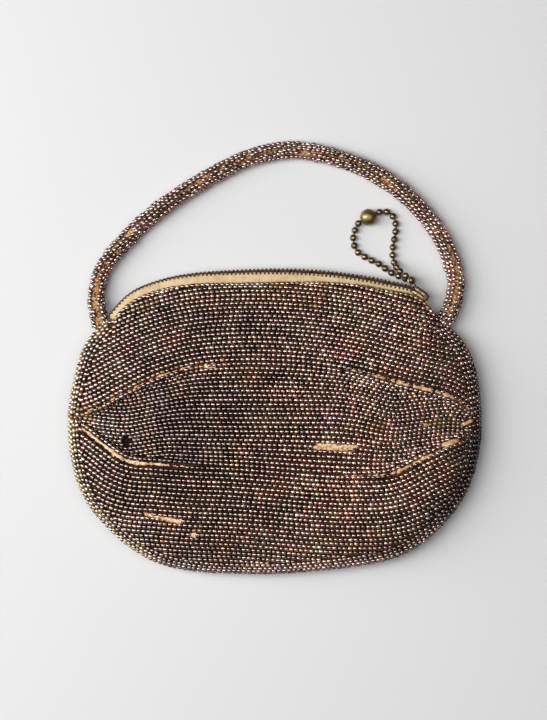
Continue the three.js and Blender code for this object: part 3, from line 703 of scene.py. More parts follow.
beads = {
    "long": 2.16, "wide": 1.84, "sides": 8,
    # rings of a bead's barrel: place along its length and share of its width
    "barrel": [(-0.5, 0.64), (-0.36, 1), (0.36, 1), (0.5, 0.64)],
    "pitch": 2.4, "pitchSpread": 0.015, "rowPitch": 2.15, "lift": 0.75,
    "stray": 0.1, "tilt": 0.12, "sizeSpread": 0.05,
    # lost beads: share of them all, and how bare a spot and a fold's lip are without them
    "gone": 0.0004, "spotGone": 0.5, "foldGone": 0.45,
    # places before the corners where the rows beside a fold, in the eye and at the mouth end
    "foldEnd": 0.02, "eyeEnd": 0.05, "mouthEnd": 0.1,
    # the mouth's row below the edge, the upper rows below that; how far inside the outline, past the mouth
    "mouthDrop": 0.1, "mouthClear": 0.645, "inside": 0.2, "pastMouth": 0.8,
    # between the folds, rows in a tuck and elsewhere stay clear of them; outside, rows reach under the lip
    "leastTuck": 0.04, "clearOfFold": (2, 0.6), "underLip": 0.9, "tuckedUnder": 1.35, "moreUpperRows": 5,
    # rows of the eye draw together to a share of their height, less at the corners by a power of x
    "eyeNarrow": (0.86, 0.12, 4),
    # they are level up to an x, eased over a distance before it, and less so near the folds by a power
    "eyeLevel": (60, 35, 1.5),
    # the steepest slope that a bead follows between the folds and elsewhere, measured over a distance
    "steepest": (0.7, 5), "slopeOver": 0.35,
    "rimDepth": 9, "rimRows": {frontSide: 4, backSide: 3}, "seed": {frontSide: 7, backSide: 11},
    # points on a line: beside a fold, up the middle, along the mouth, round the rim, across it, on the back
    "rowSteps": 900, "middleSteps": 600, "mouthSteps": 500, "rimSteps": (150, 400), "rimInSteps": 161,
    "outlineSteps": 241, "backSteps": 700,
    # finishes of the beads as reflected tints, and how common each is
    "tints": [
        ((0.32, 0.19, 0.13), 0.58),
        ((0.13, 0.058, 0.034), 0.22),
        ((0.2, 0.1, 0.075), 0.05),
        ((0.18, 0.12, 0.06), 0.05),
        ((0.26, 0.14, 0.07), 0.03),
        ((0.42, 0.32, 0.26), 0.07),
    ],
    "tintSpread": (0.26, 0.35, 1.9), "tintRange": (0.004, 0.9),
    # clouds over the beads: sizes of those that shade, that warm, and of the fine and broad ones from
    # green to pink, then what they do to a tint
    "cloudSizes": (17, 26, 6, 22), "shading": 0.14, "warming": np.array([0.04, -0.03, -0.1]),
    "hue": np.array([1.01, 0.955, 1.01]), "hueSway": np.array([0.02, -0.085, 0.035]), "cloudLeast": 0.3,
    # patches that darken the beads, and lighten them where the darkening is below 0, and warm them: x, y,
    # width, height, darkening, warming; on the sunken left of the eye and the right and lower right rims the
    # darkening is painted shade, elsewhere it makes the beads darker and lighter in patches
    "shadeAndTonePatches": [(-45, -30, 27, 24, 0.62, 0), (-46, -50, 16, 5, 0.45, 0),
                (-78, -26, 10, 7, 0.35, 0), (-60, -60, 22, 7, 0.3, 0.2),
                (-30, 14, 32, 9, 0.28, 0), (-45, -90, 26, 9, 0.35, 0.3),
                (45, -20, 38, 75, -0.55, 0.1), (64, -32, 9, 7, 0.3, 0),
                (67, 14, 10, 14, -0.35, 0.2), (98, -48, 9, 24, 0.9, 0),
                (84, -74, 10, 10, 0.45, 0), (62, -94, 16, 6, 0.4, 0),
                (20, -92, 40, 10, -0.25, 0.5), (0, -40, 26, 34, 0, 0.2),
                (44, -63, 26, 12, -0.5, 0.3), (30, -14, 30, 9, 0.15, 0),
                (-77, -17, 9, 6, -0.4, 0.1), (-91, -30, 8, 12, -0.3, 0.1),
                (40, -38, 13, 6, -0.35, 0.1), (12, -40, 9, 6, -0.2, 0.2),
                (26, -60, 10, 6, -0.35, 0.1), (-45, -51, 13, 7, 0.25, 0),
                (-32, -71, 13, 7, 0.22, 0), (-30, -91, 13, 7, 0.25, 0.1),
                (54, -6, 9, 5, -0.3, 0), (81, -31, 9, 8, -0.3, 0),
                (5, 29, 60, 6, 0, 0.5), (66, 6, 9, 6, -0.2, 0.3),
                (84, 51, 12, 17, -0.45, 0), (-80, 45, 10, 16, 0.12, 0)],
    "patchWarming": np.array([0.2, 0, -0.3]), "glossShare": 0.65, "dullDraw": (1.3, 2.6),
}


def beadShape(sides):
    # barrel: four rings along its axis, narrow at the ends, each closed by a flat
    station, girth = np.array(beads["barrel"]).T[..., None]
    angle = roundAngles(sides)[None, :]
    x = np.broadcast_to(station, (len(station), sides))
    shape = np.stack([x, girth / 2 * np.cos(angle), girth / 2 * np.sin(angle)], -1).reshape(-1, 3)
    return shape, tubeFaces(len(station), sides)


def putBeads(name, middles, along, up, tints, dull, dice, form):
    # barrels along their rows, each a little off in size, tilt and roll
    count = len(middles)
    along = unit(along + dice.normal(0, form["tilt"], (count, 3)))
    up = unit(up - along * np.sum(up * along, -1, keepdims=True))
    across = np.cross(along, up)
    roll = dice.uniform(0, 2 * np.pi, (count, 1))
    up, across = up * np.cos(roll) + across * np.sin(roll), across * np.cos(roll) - up * np.sin(roll)
    grow = dice.normal(1, beads["sizeSpread"], (count, 1))
    axes = np.stack([along * form["long"] * grow, up * form["wide"] * grow, across * form["wide"] * grow], 1)
    shape, faceSets = beadShape(form["sides"])
    points, faces = copies(shape, faceSets, middles, axes)
    own = {"tint": np.repeat(tints, len(shape), axis=0), "dull": np.repeat(dull, len(shape))}
    print(name, count, "beads")
    return putMesh(name, points, faces, beadedFinish, own, sharp=(1,))


def beadTints(x, y, dice):
    # a finish drawn for each bead, varied in clouds that shade, warm and turn it from green to pink, then
    # darkened, partly as painted shade, and warmed in patches, with its gloss as a fourth column
    tints = np.array([tint for tint, share in beads["tints"]])
    shares = np.array([share for tint, share in beads["tints"]])
    drawn = tints[dice.choice(len(tints), len(x), p=shares / shares.sum())]
    sway, least, most = beads["tintSpread"]
    drawn = drawn * dice.normal(1, sway, (len(x), 1)).clip(least, most)
    shade, warmth, fine, broad = (clouds(x, y, size, dice)[:, None] for size in beads["cloudSizes"])
    for change in (1 + beads["shading"] * shade, 1 + warmth * beads["warming"],
                   beads["hue"] + (fine + broad) * beads["hueSway"]):
        drawn = drawn * change.clip(beads["cloudLeast"])
    gloss = np.full((len(x), 1), beadFinish["coat"])
    # patches: partly painted shade, which takes gloss from the coat as well as tint
    for *spot, darker, warmer in beads["shadeAndTonePatches"]:
        share = spotShare(x, y, spot)[:, None]
        drawn = drawn * (1 - darker * share) * (1 + warmer * share * beads["patchWarming"])
        gloss = gloss * (1 - beads["glossShare"] * darker * share)
    dull = dice.beta(*beads["dullDraw"], len(x))
    return np.concatenate([drawn.clip(*beads["tintRange"]), gloss.clip(0, 1)], 1), dull


def strungRows(lines, side, dice):
    # each row's line laid on a panel and walked at about a bead's pitch, starting anywhere within one
    rows = []
    for line in lines:
        laid = np.column_stack([line, heightOver(side, *line.T)])
        step = beads["pitch"] * dice.normal(1, beads["pitchSpread"])
        places, along = placesOn(laid, np.arange(step * dice.uniform(0, 1), walked(laid)[-1], step))
        places = places + along * dice.normal(0, beads["stray"], (len(places), 1))
        rows.append(np.column_stack([places[:, :2], unit(along[:, :2])]))
    rows = np.concatenate(rows)
    return rows[:, 0], rows[:, 1], rows[:, 2:]


def onSurface(x, y, headings, side, steepest):
    # a bead's place, direction and upright on a panel, from the panel's slopes held to the steepest
    look = beads["slopeOver"]
    slopeX = (heightOver(side, x + look, y) - heightOver(side, x - look, y)) / (2 * look)
    slopeY = (heightOver(side, x, y + look) - heightOver(side, x, y - look)) / (2 * look)
    steep = np.maximum(np.hypot(slopeX, slopeY) / steepest, 1)
    slopeX, slopeY = slopeX / steep, slopeY / steep
    up = unit(np.stack([-slopeX, -slopeY, np.ones_like(x)], -1)) * side
    along = unit(np.column_stack([headings, slopeX * headings[:, 0] + slopeY * headings[:, 1]]))
    return np.stack([x, y, heightOver(side, x, y)], -1) + up * beads["lift"], along, up


middleCut = {key: float(value) for key, value in sectionAt(np.array(lastSection / 2)).items()}
eyeHigh = middleCut["upper"] - middleCut["lower"]


def rowOffsets(fromEdge, toEdge, side):
    # distances from one edge to another up the middle of the purse, a row's pitch apart over the panel
    y = np.linspace(middleCut[fromEdge], middleCut[toEdge], beads["middleSteps"])
    far = walked(np.stack([np.zeros_like(y), y, heightOver(side, np.zeros_like(y), y)], -1))
    count = int(round(far[-1] / beads["rowPitch"]))
    return np.interp((np.arange(count) + 0.5) / count * far[-1], far, y) - y[0]


def besideFold(name, offsets):
    # lines parallel to a fold: the fold's curve moved along its own normal by each offset
    cut = sectionAt(np.linspace(beads["foldEnd"], lastSection - beads["foldEnd"], beads["rowSteps"]))
    line = np.stack([cut["x"], cut[name]], -1)
    return [line + leftOf(line) * offset for offset in offsets]


def eyeLines(offsets):
    # lines between the folds: beside a fold they keep to its share of the eye's height, half way between
    # the folds they are level in the middle, and towards the corners they draw together, to run under
    # the lids where the eye is narrower than they are
    cut = sectionAt(np.linspace(beads["eyeEnd"], lastSection - beads["eyeEnd"], beads["rowSteps"]))
    least, cornerLess, cornerPower = beads["eyeNarrow"]
    levelTo, levelOver, levelPower = beads["eyeLevel"]
    cornerShare = (np.abs(cut["x"]) / pouch["halfWidth"]) ** cornerPower
    narrow = np.maximum((cut["upper"] - cut["lower"]) / eyeHigh, least - cornerLess * cornerShare)
    centre = (cut["upper"] + cut["lower"]) / 2
    middle = (middleCut["upper"] + middleCut["lower"]) / 2
    offCentre = offsets[:, None] - eyeHigh / 2
    level = falling(np.abs(cut["x"]), levelTo, levelOver)
    level = level * (1 - (np.abs(offCentre) / eyeHigh * 2) ** levelPower)
    y = (middle + offCentre) * level + (centre + offCentre * narrow) * (1 - level)
    return [np.stack([cut["x"], row], -1) for row in y]


def mouthLine():
    # line that follows the mouth's edge, just below it
    start, end = pouch["mouth"][:2]
    cut = sectionAt(np.linspace(start + beads["mouthEnd"], end - beads["mouthEnd"], beads["mouthSteps"]))
    y = drawnIn(cut, cut["edge"]) - beads["mouthDrop"]
    return np.stack([cut["x"] * clothShrink["across"], y], -1)


def rimLine():
    # outline of the cloth from the mouth's left corner round the bottom to its right corner
    left, right = pouch["mouth"][:2]
    short, long = beads["rimSteps"]
    parts = [np.linspace(left, 0, short)[:-1], np.linspace(0, lastSection, long)[:-1],
             np.linspace(lastSection, right, short)]
    onTop = np.repeat([True, False, True], [len(part) for part in parts])
    cut = sectionAt(np.concatenate(parts))
    y = drawnIn(cut, np.where(onTop, cut["top"], cut["bottom"]))
    return np.stack([cut["x"] * clothShrink["across"], y], -1)


def rimRows(side):
    # lines along the rim, a row's pitch apart up the steep border, and how far in from the rim they reach
    rim = rimLine()
    inward = leftOf(rim)
    depth = beads["rimDepth"] * np.linspace(0, 1, beads["rimInSteps"]) ** 2
    plan = rim[:, None] + inward[:, None] * depth[:, None]
    laid = np.concatenate([plan, heightOver(side, plan[..., 0], plan[..., 1])[..., None]], -1)
    far = np.cumsum(np.linalg.norm(np.diff(laid, axis=1), axis=-1), axis=1)
    count = beads["rimRows"][side]
    stops = [depth[1 + np.argmax(far >= beads["rowPitch"] * stop, axis=1)]
             for stop in (*(np.arange(count) + 0.5), count)]
    return [rim + inward * stop[:, None] for stop in stops[:-1]], stops[-1]


def clearOfRim(x, y, reach, every=3):
    # further from the rim than the rows along it reach, or past the rim's ends
    gaps = gapsTo(x, y, rimLine()[::every])
    nearest = gaps.argmin(1)
    return (gaps.min(1) > reach[::every][nearest]) | (nearest == 0) | (nearest == gaps.shape[1] - 1)


def insideOutline(x, y):
    # within the panel: below its mouth, above its bottom, clear of the outline
    cut = sectionAt(placeOf(x / clothShrink["across"]))
    low, high = (drawnIn(cut, cut[key]) for key in ("bottom", "edge"))
    inWidth = np.abs(x) < pouch["halfWidth"] * clothShrink["across"] - beads["inside"]
    return inWidth & (y > low + beads["inside"]) & (y < high + beads["pastMouth"])


def kept(x, y, dice):
    # beads that are still there: not in a bare spot or along a bare fold, and not one of the few lost
    here = dice.uniform(0, 1, len(x))
    gone = inOvals(x, y, bareCloth["spots"] + bareCloth["pits"])
    return (gone < beads["spotGone"]) & (foldShare(x, y) < beads["foldGone"]) & (here > beads["gone"])


rubbed = {
    # along the left outline and the left of the upper fold: how far in, and to what x, each with its fade
    "rimIn": (4.8, 2.2), "rimTo": (-48, 22), "foldWide": 1.9, "foldTo": (-20, 10),
    # in smudges: x, y, width, height, share of the beads
    "smudges": [(1.1, 33, 1.7, 3.6, 0.9), (10.8, 33, 1.5, 3.4, 0.9), (24.3, 32, 3.2, 3.6, 0.8),
                (15, 24.5, 5, 1.6, 0.5), (-63, 22.5, 6, 5, 0.6), (69, 26.8, 7, 4.5, 0.85),
                (-40, 34, 5, 2, 0.4), (52, 31, 9, 1.8, 0.5), (-90, -33, 5, 6, 0.55),
                (-33, -83.5, 5, 4, 0.45), (81, -31.5, 15, 2.6, 0.6), (49, -33.5, 3.5, 4, 0.45)],
    "smudgePower": 4,
    # share of the beads rubbed there, and their tint and gloss: dull tan, dull orange, dull gold
    "rimLook": (0.75, (0.56, 0.43, 0.25, 0.5)), "foldLook": (0.65, (0.4, 0.2, 0.085, 0.3)),
    "smudgeLook": (1, (0.36, 0.23, 0.1, 0.3)), "tintRange": (0.5, 1.1), "dull": 0.95,
}
shaded = {
    # painted shade beside the right folds: off the fold, and across by x; each from, fade, to, fade
    "offFold": (-0.5, 0.8, 4.5, 2), "upperAcross": (32, 8, 80, 6), "lowerAcross": (36, 8, 70, 6),
    # painted shade in a dark band inside the lower right outline: how much, how far in, from what x, below
    # what y
    "band": (0.8, (2.5, 2, 11, 4), (20, 25), (-45, 15)),
    # painted shade along the right outline: how much, how far in, from what x
    "rim": (0.9, (7, 6), (75, 15)), "share": 0.65, "most": 1.2,
}
outlineCut = sectionAt(np.linspace(0, lastSection, beads["outlineSteps"]))
outline = np.concatenate([np.stack([outlineCut["x"], outlineCut[key]], -1) for key in ("top", "bottom")])


def shadeOver(x, y, cut, gap):
    # sum of the painted shades beside the right folds, inside the lower right outline and along the right
    # outline
    shade = between(y - cut["upper"], *shaded["offFold"]) * between(x, *shaded["upperAcross"])
    shade += between(cut["lower"] - y, *shaded["offFold"]) * between(x, *shaded["lowerAcross"])
    much, inside, fromX, belowY = shaded["band"]
    shade += much * between(gap, *inside) * rising(x, *fromX) * falling(y, *belowY)
    much, inside, fromX = shaded["rim"]
    return shade + much * falling(gap, *inside) * rising(x, *fromX)


def shadedAndWornBeads(x, y, tints, dull, dice):
    # painted shade: beads darker, gloss included, beside the right folds and along the right and lower right
    # outline;
    # rubbed to dull tan along the left outline, to dull orange along the left of the upper fold, to dull gold
    # in smudges
    cut = sectionAt(placeOf(x))
    gap = gapsTo(x, y, outline).min(1)
    tints = tints * (1 - shaded["share"] * shadeOver(x, y, cut, gap)[:, None].clip(0, shaded["most"]))
    onRim = falling(gap, *rubbed["rimIn"]) * falling(x, *rubbed["rimTo"])
    onFold = np.exp(-(((y - cut["upper"]) / rubbed["foldWide"]) ** 2)) * falling(x, *rubbed["foldTo"])
    smudged = np.max([most * spotShare(x, y, spot, rubbed["smudgePower"])
                      for *spot, most in rubbed["smudges"]], axis=0)
    for near, look in ((onRim, "rimLook"), (onFold, "foldLook"), (smudged, "smudgeLook")):
        chance, tint = rubbed[look]
        worn = dice.uniform(0, 1, len(x)) < near * chance
        tints = np.where(worn[:, None], tint * dice.uniform(*rubbed["tintRange"], (len(x), 1)), tints)
        dull = np.where(worn, rubbed["dull"], dull)
    return tints, dull


frontDice = np.random.default_rng(beads["seed"][frontSide])
upperOffsets = np.append(-beads["underLip"], rowOffsets("upper", "edge", frontSide))
moreOffsets = beads["rowPitch"] * np.arange(1, beads["moreUpperRows"] + 1)  # where the band is wider
upperOffsets = np.append(upperOffsets, upperOffsets[-1] + moreOffsets)
lowerOffsets = np.append(beads["underLip"], rowOffsets("lower", "bottom", frontSide))
frontRim, frontReach = rimRows(frontSide)
families = {
    "front_beads_mouth": [mouthLine()],
    "front_beads_rim": frontRim, "front_beads_upper": besideFold("upper", upperOffsets),
    "front_beads_middle": eyeLines(rowOffsets("lower", "upper", frontSide)),
    "front_beads_lower": besideFold("lower", lowerOffsets),
}
for name, lines in families.items():
    x, y, headings = strungRows(lines, frontSide, frontDice)
    cut = sectionAt(placeOf(x))
    stays = kept(x, y, frontDice)
    if name != "front_beads_rim":
        stays &= insideOutline(x, y) & clearOfRim(x, y, frontReach)
    folded = cut["tuck"] > beads["leastTuck"]
    under = np.where(folded, beads["tuckedUnder"], 0)
    if name == "front_beads_upper":
        mouthY = np.interp(x, *mouthLine().T, left=np.inf, right=np.inf)
        stays &= (y > cut["upper"] - under) & (y < mouthY - beads["mouthClear"])
    elif name == "front_beads_lower":
        stays &= y < cut["lower"] + under
    elif name == "front_beads_middle":
        clear = np.where(folded, *beads["clearOfFold"])
        stays &= (y < cut["upper"] - clear) & (y > cut["lower"] + clear)
    x, y, headings = x[stays], y[stays], headings[stays]
    cut = sectionAt(placeOf(x))
    steepest = np.where((y < cut["upper"]) & (y > cut["lower"]), *beads["steepest"])
    middles, along, up = onSurface(x, y, headings, frontSide, steepest)
    tints, dull = shadedAndWornBeads(x, y, *beadTints(x, y, frontDice), frontDice)
    onPurse(putBeads(name, middles, along, up, tints, dull, frontDice, beads), "beaded_cloth")

# level rows on the back, of narrower beads with fewer sides, that sag towards the purse's ends
backForm = {**beads, "wide": 1.748, "sides": 6, "sag": 4.0, "end": 0.5, "floorClear": 1.012, "steepest": 5}
backDice = np.random.default_rng(beads["seed"][backSide])
acrossEnd = pouch["halfWidth"] - backForm["end"]
across = np.linspace(-acrossEnd, acrossEnd, beads["backSteps"])
sag = backForm["sag"] * (across / pouch["halfWidth"]) ** 2
levels = rowOffsets("bottom", "edge", backSide) + middleCut["bottom"]
backRim, backReach = rimRows(backSide)
levelRows = [np.stack([across, level - sag], -1) for level in levels]
families = {"back_beads": levelRows, "back_beads_rim": backRim}
for name, lines in families.items():
    x, y, headings = strungRows(lines, backSide, backDice)
    if name == "back_beads":
        stays = insideOutline(x, y) & clearOfRim(x, y, backReach)
        x, y, headings = x[stays], y[stays], headings[stays]
    middles, along, up = onSurface(x, y, headings, backSide, backForm["steepest"])
    middles[:, 2] = np.maximum(middles[:, 2], backForm["floorClear"])  # none sinks into the table
    tints, dull = beadTints(x, y, backDice)
    onPurse(putBeads(name, middles, along, up, tints, dull, backDice, backForm), "beaded_cloth")


handle = {
    "core": 2.9, "coreSides": 24, "coreRings": 260, "perSpan": 40, "inPouch": 1.5,
    "beadRing": 3.55, "long": 2.1, "wide": 1.78, "sides": 8, "pitch": 2.3, "rows": 11,
    # how far beads are off: tilt, along the row, round the tube, out of the ring
    "tilt": 0.15, "stray": 0.2, "strayRound": 0.05, "strayOut": 0.16,
    # the rows' slow turn to and fro, and how they part and close again: turn, length, and the row's start
    "twist": (0.9, 37), "wander": (0.1, 11, 2.4),
    "gloss": 0.9, "floorClear": 1.1125, "gone": 0.02, "seed": 23,
    "line": [(-83.2, 11.8, 7.6), (-85.4, 20, 7), (-86.5, 28.5, 5.6), (-83.8, 41.2, 4.6),
             (-69.2, 59.8, 4.5), (-50.8, 75.2, 4.5), (-31.4, 87.2, 4.5), (-12.1, 96.6, 4.5),
             (7.4, 100.3, 4.5), (26.7, 97.4, 4.5), (46.1, 90.3, 4.5), (64, 78.2, 4.5), (80, 59.4, 4.5),
             (87.6, 40.5, 4.6), (87.7, 31, 5.4), (85.2, 23, 7), (80.6, 14.4, 7.6)],
    # rows with beads gone: from and to as shares of the length, angle from the top towards the inside
    "worn": [(0, 0.1, -8), (0, 0.05, 22), (0.15, 0.17, 20), (0.185, 0.205, -15), (0.34, 0.36, 10),
             (0.53, 0.56, 20), (0.68, 0.72, 35), (0.86, 0.98, 8)],
    "wornShare": 0.88, "wornRagged": 0.006, "wornFade": (1.5, 1),
    # how bare the core is, the rest painted with the shade under its beads: at least, how much more past a
    # share of the length with its fade, in worn rows
    "bare": (0.37, 0.05, (0.25, 0.2), 0.16), "warm": 0.85,
}
handleLine = pathThrough(handle["line"], handle["perSpan"])
handleFar = walked(handleLine)
handleLong = handleFar[-1]
outside = handleLine[:, 1] > sectionAt(placeOf(handleLine[:, 0]))["top"] - handle["inPouch"]
handleStart, handleEnd = handleFar[outside][[0, -1]]
coreSteps = np.linspace(handleStart, handleEnd, handle["coreRings"])
radii = np.full(handle["coreRings"], handle["core"])
points, faces = ringedTube(handleLine, coreSteps, radii, handle["coreSides"])
along = np.repeat(coreSteps / handleLong, handle["coreSides"])
inWorn = sum(falling(np.abs(along - (start + end) / 2) / (end - start) * 2, *handle["wornFade"])
             for start, end, at in handle["worn"])
least, further, furtherFrom, whereWorn = handle["bare"]
bare = least + further * rising(along, *furtherFrom) + whereWorn * np.minimum(inWorn, 1)
own = {"bare": bare, "warm": np.full(len(points), handle["warm"])}
handleCore = putMesh("handle_core", points, faces, clothTan, own)
onPurse(handleCore, "handle_beading", "handle")

handleDice = np.random.default_rng(handle["seed"])
steps = np.arange(handleStart, handleEnd, handle["pitch"])[:, None]
row = np.arange(handle["rows"])
distance = steps + handle["pitch"] * handleDice.uniform(0, 1, handle["rows"])
distance = (distance + handleDice.normal(0, handle["stray"], distance.shape)).ravel()
twist, twistLong = handle["twist"]
wander, wanderLong, wanderStart = handle["wander"]
angle = 2 * np.pi * row / handle["rows"] + twist * np.sin(steps / twistLong)
angle = angle + wander * np.sin(steps / wanderLong + wanderStart * row)
angle = (angle + handleDice.normal(0, handle["strayRound"], angle.shape)).ravel()
middles, along = placesOn(handleLine, distance)
inward = unit(np.cross(along, upward) * np.array([1, 1, 0]))  # right of the way walked, the loop's inside
over = np.cross(inward, along)
up = over * np.cos(angle)[:, None] + inward * np.sin(angle)[:, None]
middles = middles + up * (handle["beadRing"] + handleDice.normal(0, handle["strayOut"], (len(up), 1)))
rowNumber = np.tile(row, len(steps))
share = distance / handleLong
stays = handleDice.uniform(0, 1, len(share)) > handle["gone"]
for start, end, at in handle["worn"]:
    turnOff = np.abs(np.angle(np.exp(1j * (angle - np.radians(at)))))
    middle = np.argmin(np.abs(share - (start + end) / 2) + turnOff)
    ragged = share + handleDice.normal(0, handle["wornRagged"], len(share))
    lost = handleDice.uniform(0, 1, len(share)) < handle["wornShare"]
    stays &= ~(lost & (rowNumber == rowNumber[middle]) & (ragged > start) & (ragged < end))
middles, along, up = middles[stays], along[stays], up[stays]
middles[:, 2] = np.maximum(middles[:, 2], handle["floorClear"])  # none sinks into the table
tints, dull = beadTints(middles[:, 0], middles[:, 1], handleDice)
tints[:, 3] *= handle["gloss"]
onPurse(putBeads("handle_beads", middles, along, up, tints, dull, handleDice, handle), "handle_beading")


zipper = {
    "height": 8.6, "places": (3.2, 12.9, 61), "startPlace": 3.42, "tapePlaces": (3.22, 12.4, 181),
    "tapeRows": 9, "tapeThick": 0.8, "tapeRise": 2, "tapeUnder": 2.9, "tapeEdge": -1.5,
    "clear": 0.8, "perSpan": 12,
    "pitch": 2, "start": {frontSide: 0.56, backSide: 1.56}, "closed": 0.9, "stop": 3,
    # a tooth's blocks: half width along, inner and outer reach, foot and top
    "rail": (0.97, -1.6, -0.85, 0.9, 1.75), "jaw": (0.5, -2.8, -0.1, 0.5, 2.45),
    "tip": (0.3, -1.7, -0.3, -0.9, 0.7), "backReach": 0.6,
    # a block's form: edges cut by a share of its half width, its top drawn in above a share of its height
    "blockForm": (0.35, 0.75, 0.16),
    # the zip rolls away at its left end: from x, to x, and the share of the teeth that shows there
    "rolled": (-85, 15, 0.38),
}
zipCut = sectionAt(np.linspace(*zipper["places"]))
zipHeights = np.full_like(zipCut["x"], zipper["height"])
zipLine = pathThrough(np.stack([zipCut["x"], zipCut["top"], zipHeights], -1), zipper["perSpan"])
zipFar = walked(zipLine)
zipStart = np.interp(sectionAt(np.array(zipper["startPlace"]))["x"], zipLine[:, 0], zipFar)
sliderAt = zipStart + (zipFar[-1] - zipStart) * zipper["closed"]


def zipAxes(distances):
    # middle of the zip at walked distances, with the way along it and the way out of the purse
    middles, along = placesOn(zipLine, distances)
    return middles, along, unit(np.cross(upward, along))


def teethShown(x):
    # share of the teeth's reach that is seen, eased from the rolled end to the whole
    fromX, toX, least = zipper["rolled"]
    return least + (1 - least) * rising(x, fromX, toX - fromX)


def tapeStrip(name, side):
    # strip carried along the zip, its section a flat band from the teeth to under the panel's edge
    cut = sectionAt(np.linspace(*zipper["tapePlaces"]))
    middles, along, outward = zipAxes(np.interp(cut["x"], zipLine[:, 0], zipFar))
    reach = cut["tape"] * outward[:, 1] + zipper["tapeUnder"]
    t = np.linspace(0, 1, zipper["tapeRows"])[:, None]
    edge = zipper["tapeEdge"] * teethShown(middles[:, 0])
    n = edge - (reach + edge) * t
    plan = middles[None] + outward[None] * n[..., None]
    inner = middles - outward * reach[:, None]
    under = pouch["clothSink"] + pouch["clothWall"]
    low = heightOver(side, inner[:, 0], inner[:, 1], under) - side * zipper["clear"]
    face = (zipper["height"] + side * zipper["tapeRise"]) * (1 - t) + low * t
    upper = np.concatenate([plan[..., :2], face[..., None]], -1)
    lower = upper - np.array([0, 0, side * zipper["tapeThick"]])
    points = np.concatenate([upper.reshape(-1, 3), lower.reshape(-1, 3)])
    faces = shellFaces(*n.shape)
    return putMesh(name, points, turned(faces) if side == frontSide else faces, tapeTan)


def softBlock(halfWide, inner, outer, foot, top):
    # block with its upright edges cut off and its top drawn in
    edge, shoulder, drawn = zipper["blockForm"]
    cut = halfWide * edge
    rings = []
    for height, draw in ((foot, 0), (foot + (top - foot) * shoulder, 0), (top, drawn)):
        w, a, b = halfWide - draw, inner + draw, outer - draw
        rings += [(w, b - cut, height), (w - cut, b, height), (cut - w, b, height), (-w, b - cut, height),
                  (-w, a + cut, height), (cut - w, a, height), (w - cut, a, height), (w, a + cut, height)]
    return np.array(rings), tubeFaces(3, 8)


def joinShapes(shapes):
    # several shapes as one list of points and faces
    points, faces, start = [], [], 0
    for shape, faceSets in shapes:
        points.append(shape)
        faces += [f + start for f in faceSets]
        start += len(shape)
    return np.concatenate(points), faces


def toothRow(name, side):
    # teeth a pitch apart along the zip; the back's row is turned over and set half a pitch along
    stop = sliderAt - zipper["stop"]
    middles, along, outward = zipAxes(np.arange(zipper["start"][side], stop, zipper["pitch"]))
    outward = outward * teethShown(middles[:, :1])
    axes = np.stack([along * side, outward, np.broadcast_to(upward * side, along.shape)], 1)
    halfWide, inner, outer, foot, top = zipper["jaw"]
    jaw = softBlock(halfWide, inner, outer if side == frontSide else zipper["backReach"], foot, top)
    shape, faceSets = joinShapes([softBlock(*zipper["rail"]), jaw, softBlock(*zipper["tip"])])
    points, faces = copies(shape, faceSets, middles, axes)
    return putMesh(name, points, faces, teethBronze, sharp=range(len(faces)))


for what, make in {"tape": tapeStrip, "teeth": toothRow}.items():
    for side, word in ((frontSide, "front"), (backSide, "back")):
        onPurse(make(f"{word}_zip_{what}", side), f"zip_{what}", f"zipper_{what}_{word}")
print("zip made")


slider = {
    "long": 8.6, "halfWide": 3.1, "plate": 0.9, "inside": 1.45, "setIn": 1.25, "flangeDeep": 1.44,
    "flangeWide": 0.6, "flangeBevel": 0.12, "cornerRound": 1.3, "cornerSteps": 5,
    # a plate's ends: how long the round is, and the shares of thickness and width that it keeps there
    "endRound": 2.6, "endThin": 0.3, "endWide": 0.55,
    # post: from and to along, half height; nose: start along, depth, half width, half height, its edge and
    # the share that the edge is drawn in to
    "post": (1.6, 4, 1.2), "nose": (2.1, 2.5, 2.35, 3, 0.4, 0.8), "noseSteps": 13,
    "bail": {"along": -7.2, "out": 2.7, "ring": 1.55, "wire": 0.5, "neck": 1.8, "bite": 0.1,
             "steps": 28, "sides": 12},
}
sliderMiddle, sliderAlong, sliderOut = (v[0] for v in zipAxes(np.array([sliderAt])))
sliderMiddle = sliderMiddle - sliderOut * slider["setIn"]  # in the middle of the teeth where they bend


def toSlider(points):
    # from the slider's own lengths along, out and up to the purse's frame
    return sliderMiddle + points @ np.stack([sliderAlong, sliderOut, upward])


def channel(face):
    # channel with rounded corners carried along the slider, drawn in to a round at both ends
    inner, tall, soft, bevel = (slider[key] for key in ("inside", "halfWide", "cornerRound", "flangeBevel"))
    outer = inner + slider["plate"]
    lip, foot = inner - slider["flangeDeep"], tall - slider["flangeWide"]
    arc = np.linspace(0, np.pi / 2, slider["cornerSteps"])
    corner = np.stack([outer - soft + soft * np.cos(arc), tall - soft + soft * np.sin(arc)], -1)
    half = np.concatenate([corner, [(lip + bevel, tall), (lip, tall - bevel), (lip, foot), (inner, foot)]])
    section = np.concatenate([half, half[::-1] * np.array([1, -1])])
    end, endRound = slider["long"] / 2, slider["endRound"]
    ending = endRound * (1 - np.cos(arc))
    along = np.concatenate([-end + ending, end - ending[::-1]])
    past = np.maximum(np.abs(along) - (end - endRound), 0) / endRound
    drawn = np.sqrt(np.maximum(0, 1 - past**2))[:, None]
    thin, wide = (slider[key] + (1 - slider[key]) * drawn for key in ("endThin", "endWide"))
    out = inner + (section[None, :, 0] - inner) * thin
    along = np.broadcast_to(along[:, None], out.shape)
    points = np.stack([along, out * face, section[None, :, 1] * wide], -1)
    faces = tubeFaces(*out.shape)
    return points.reshape(-1, 3), faces if face < 0 else turned(faces)


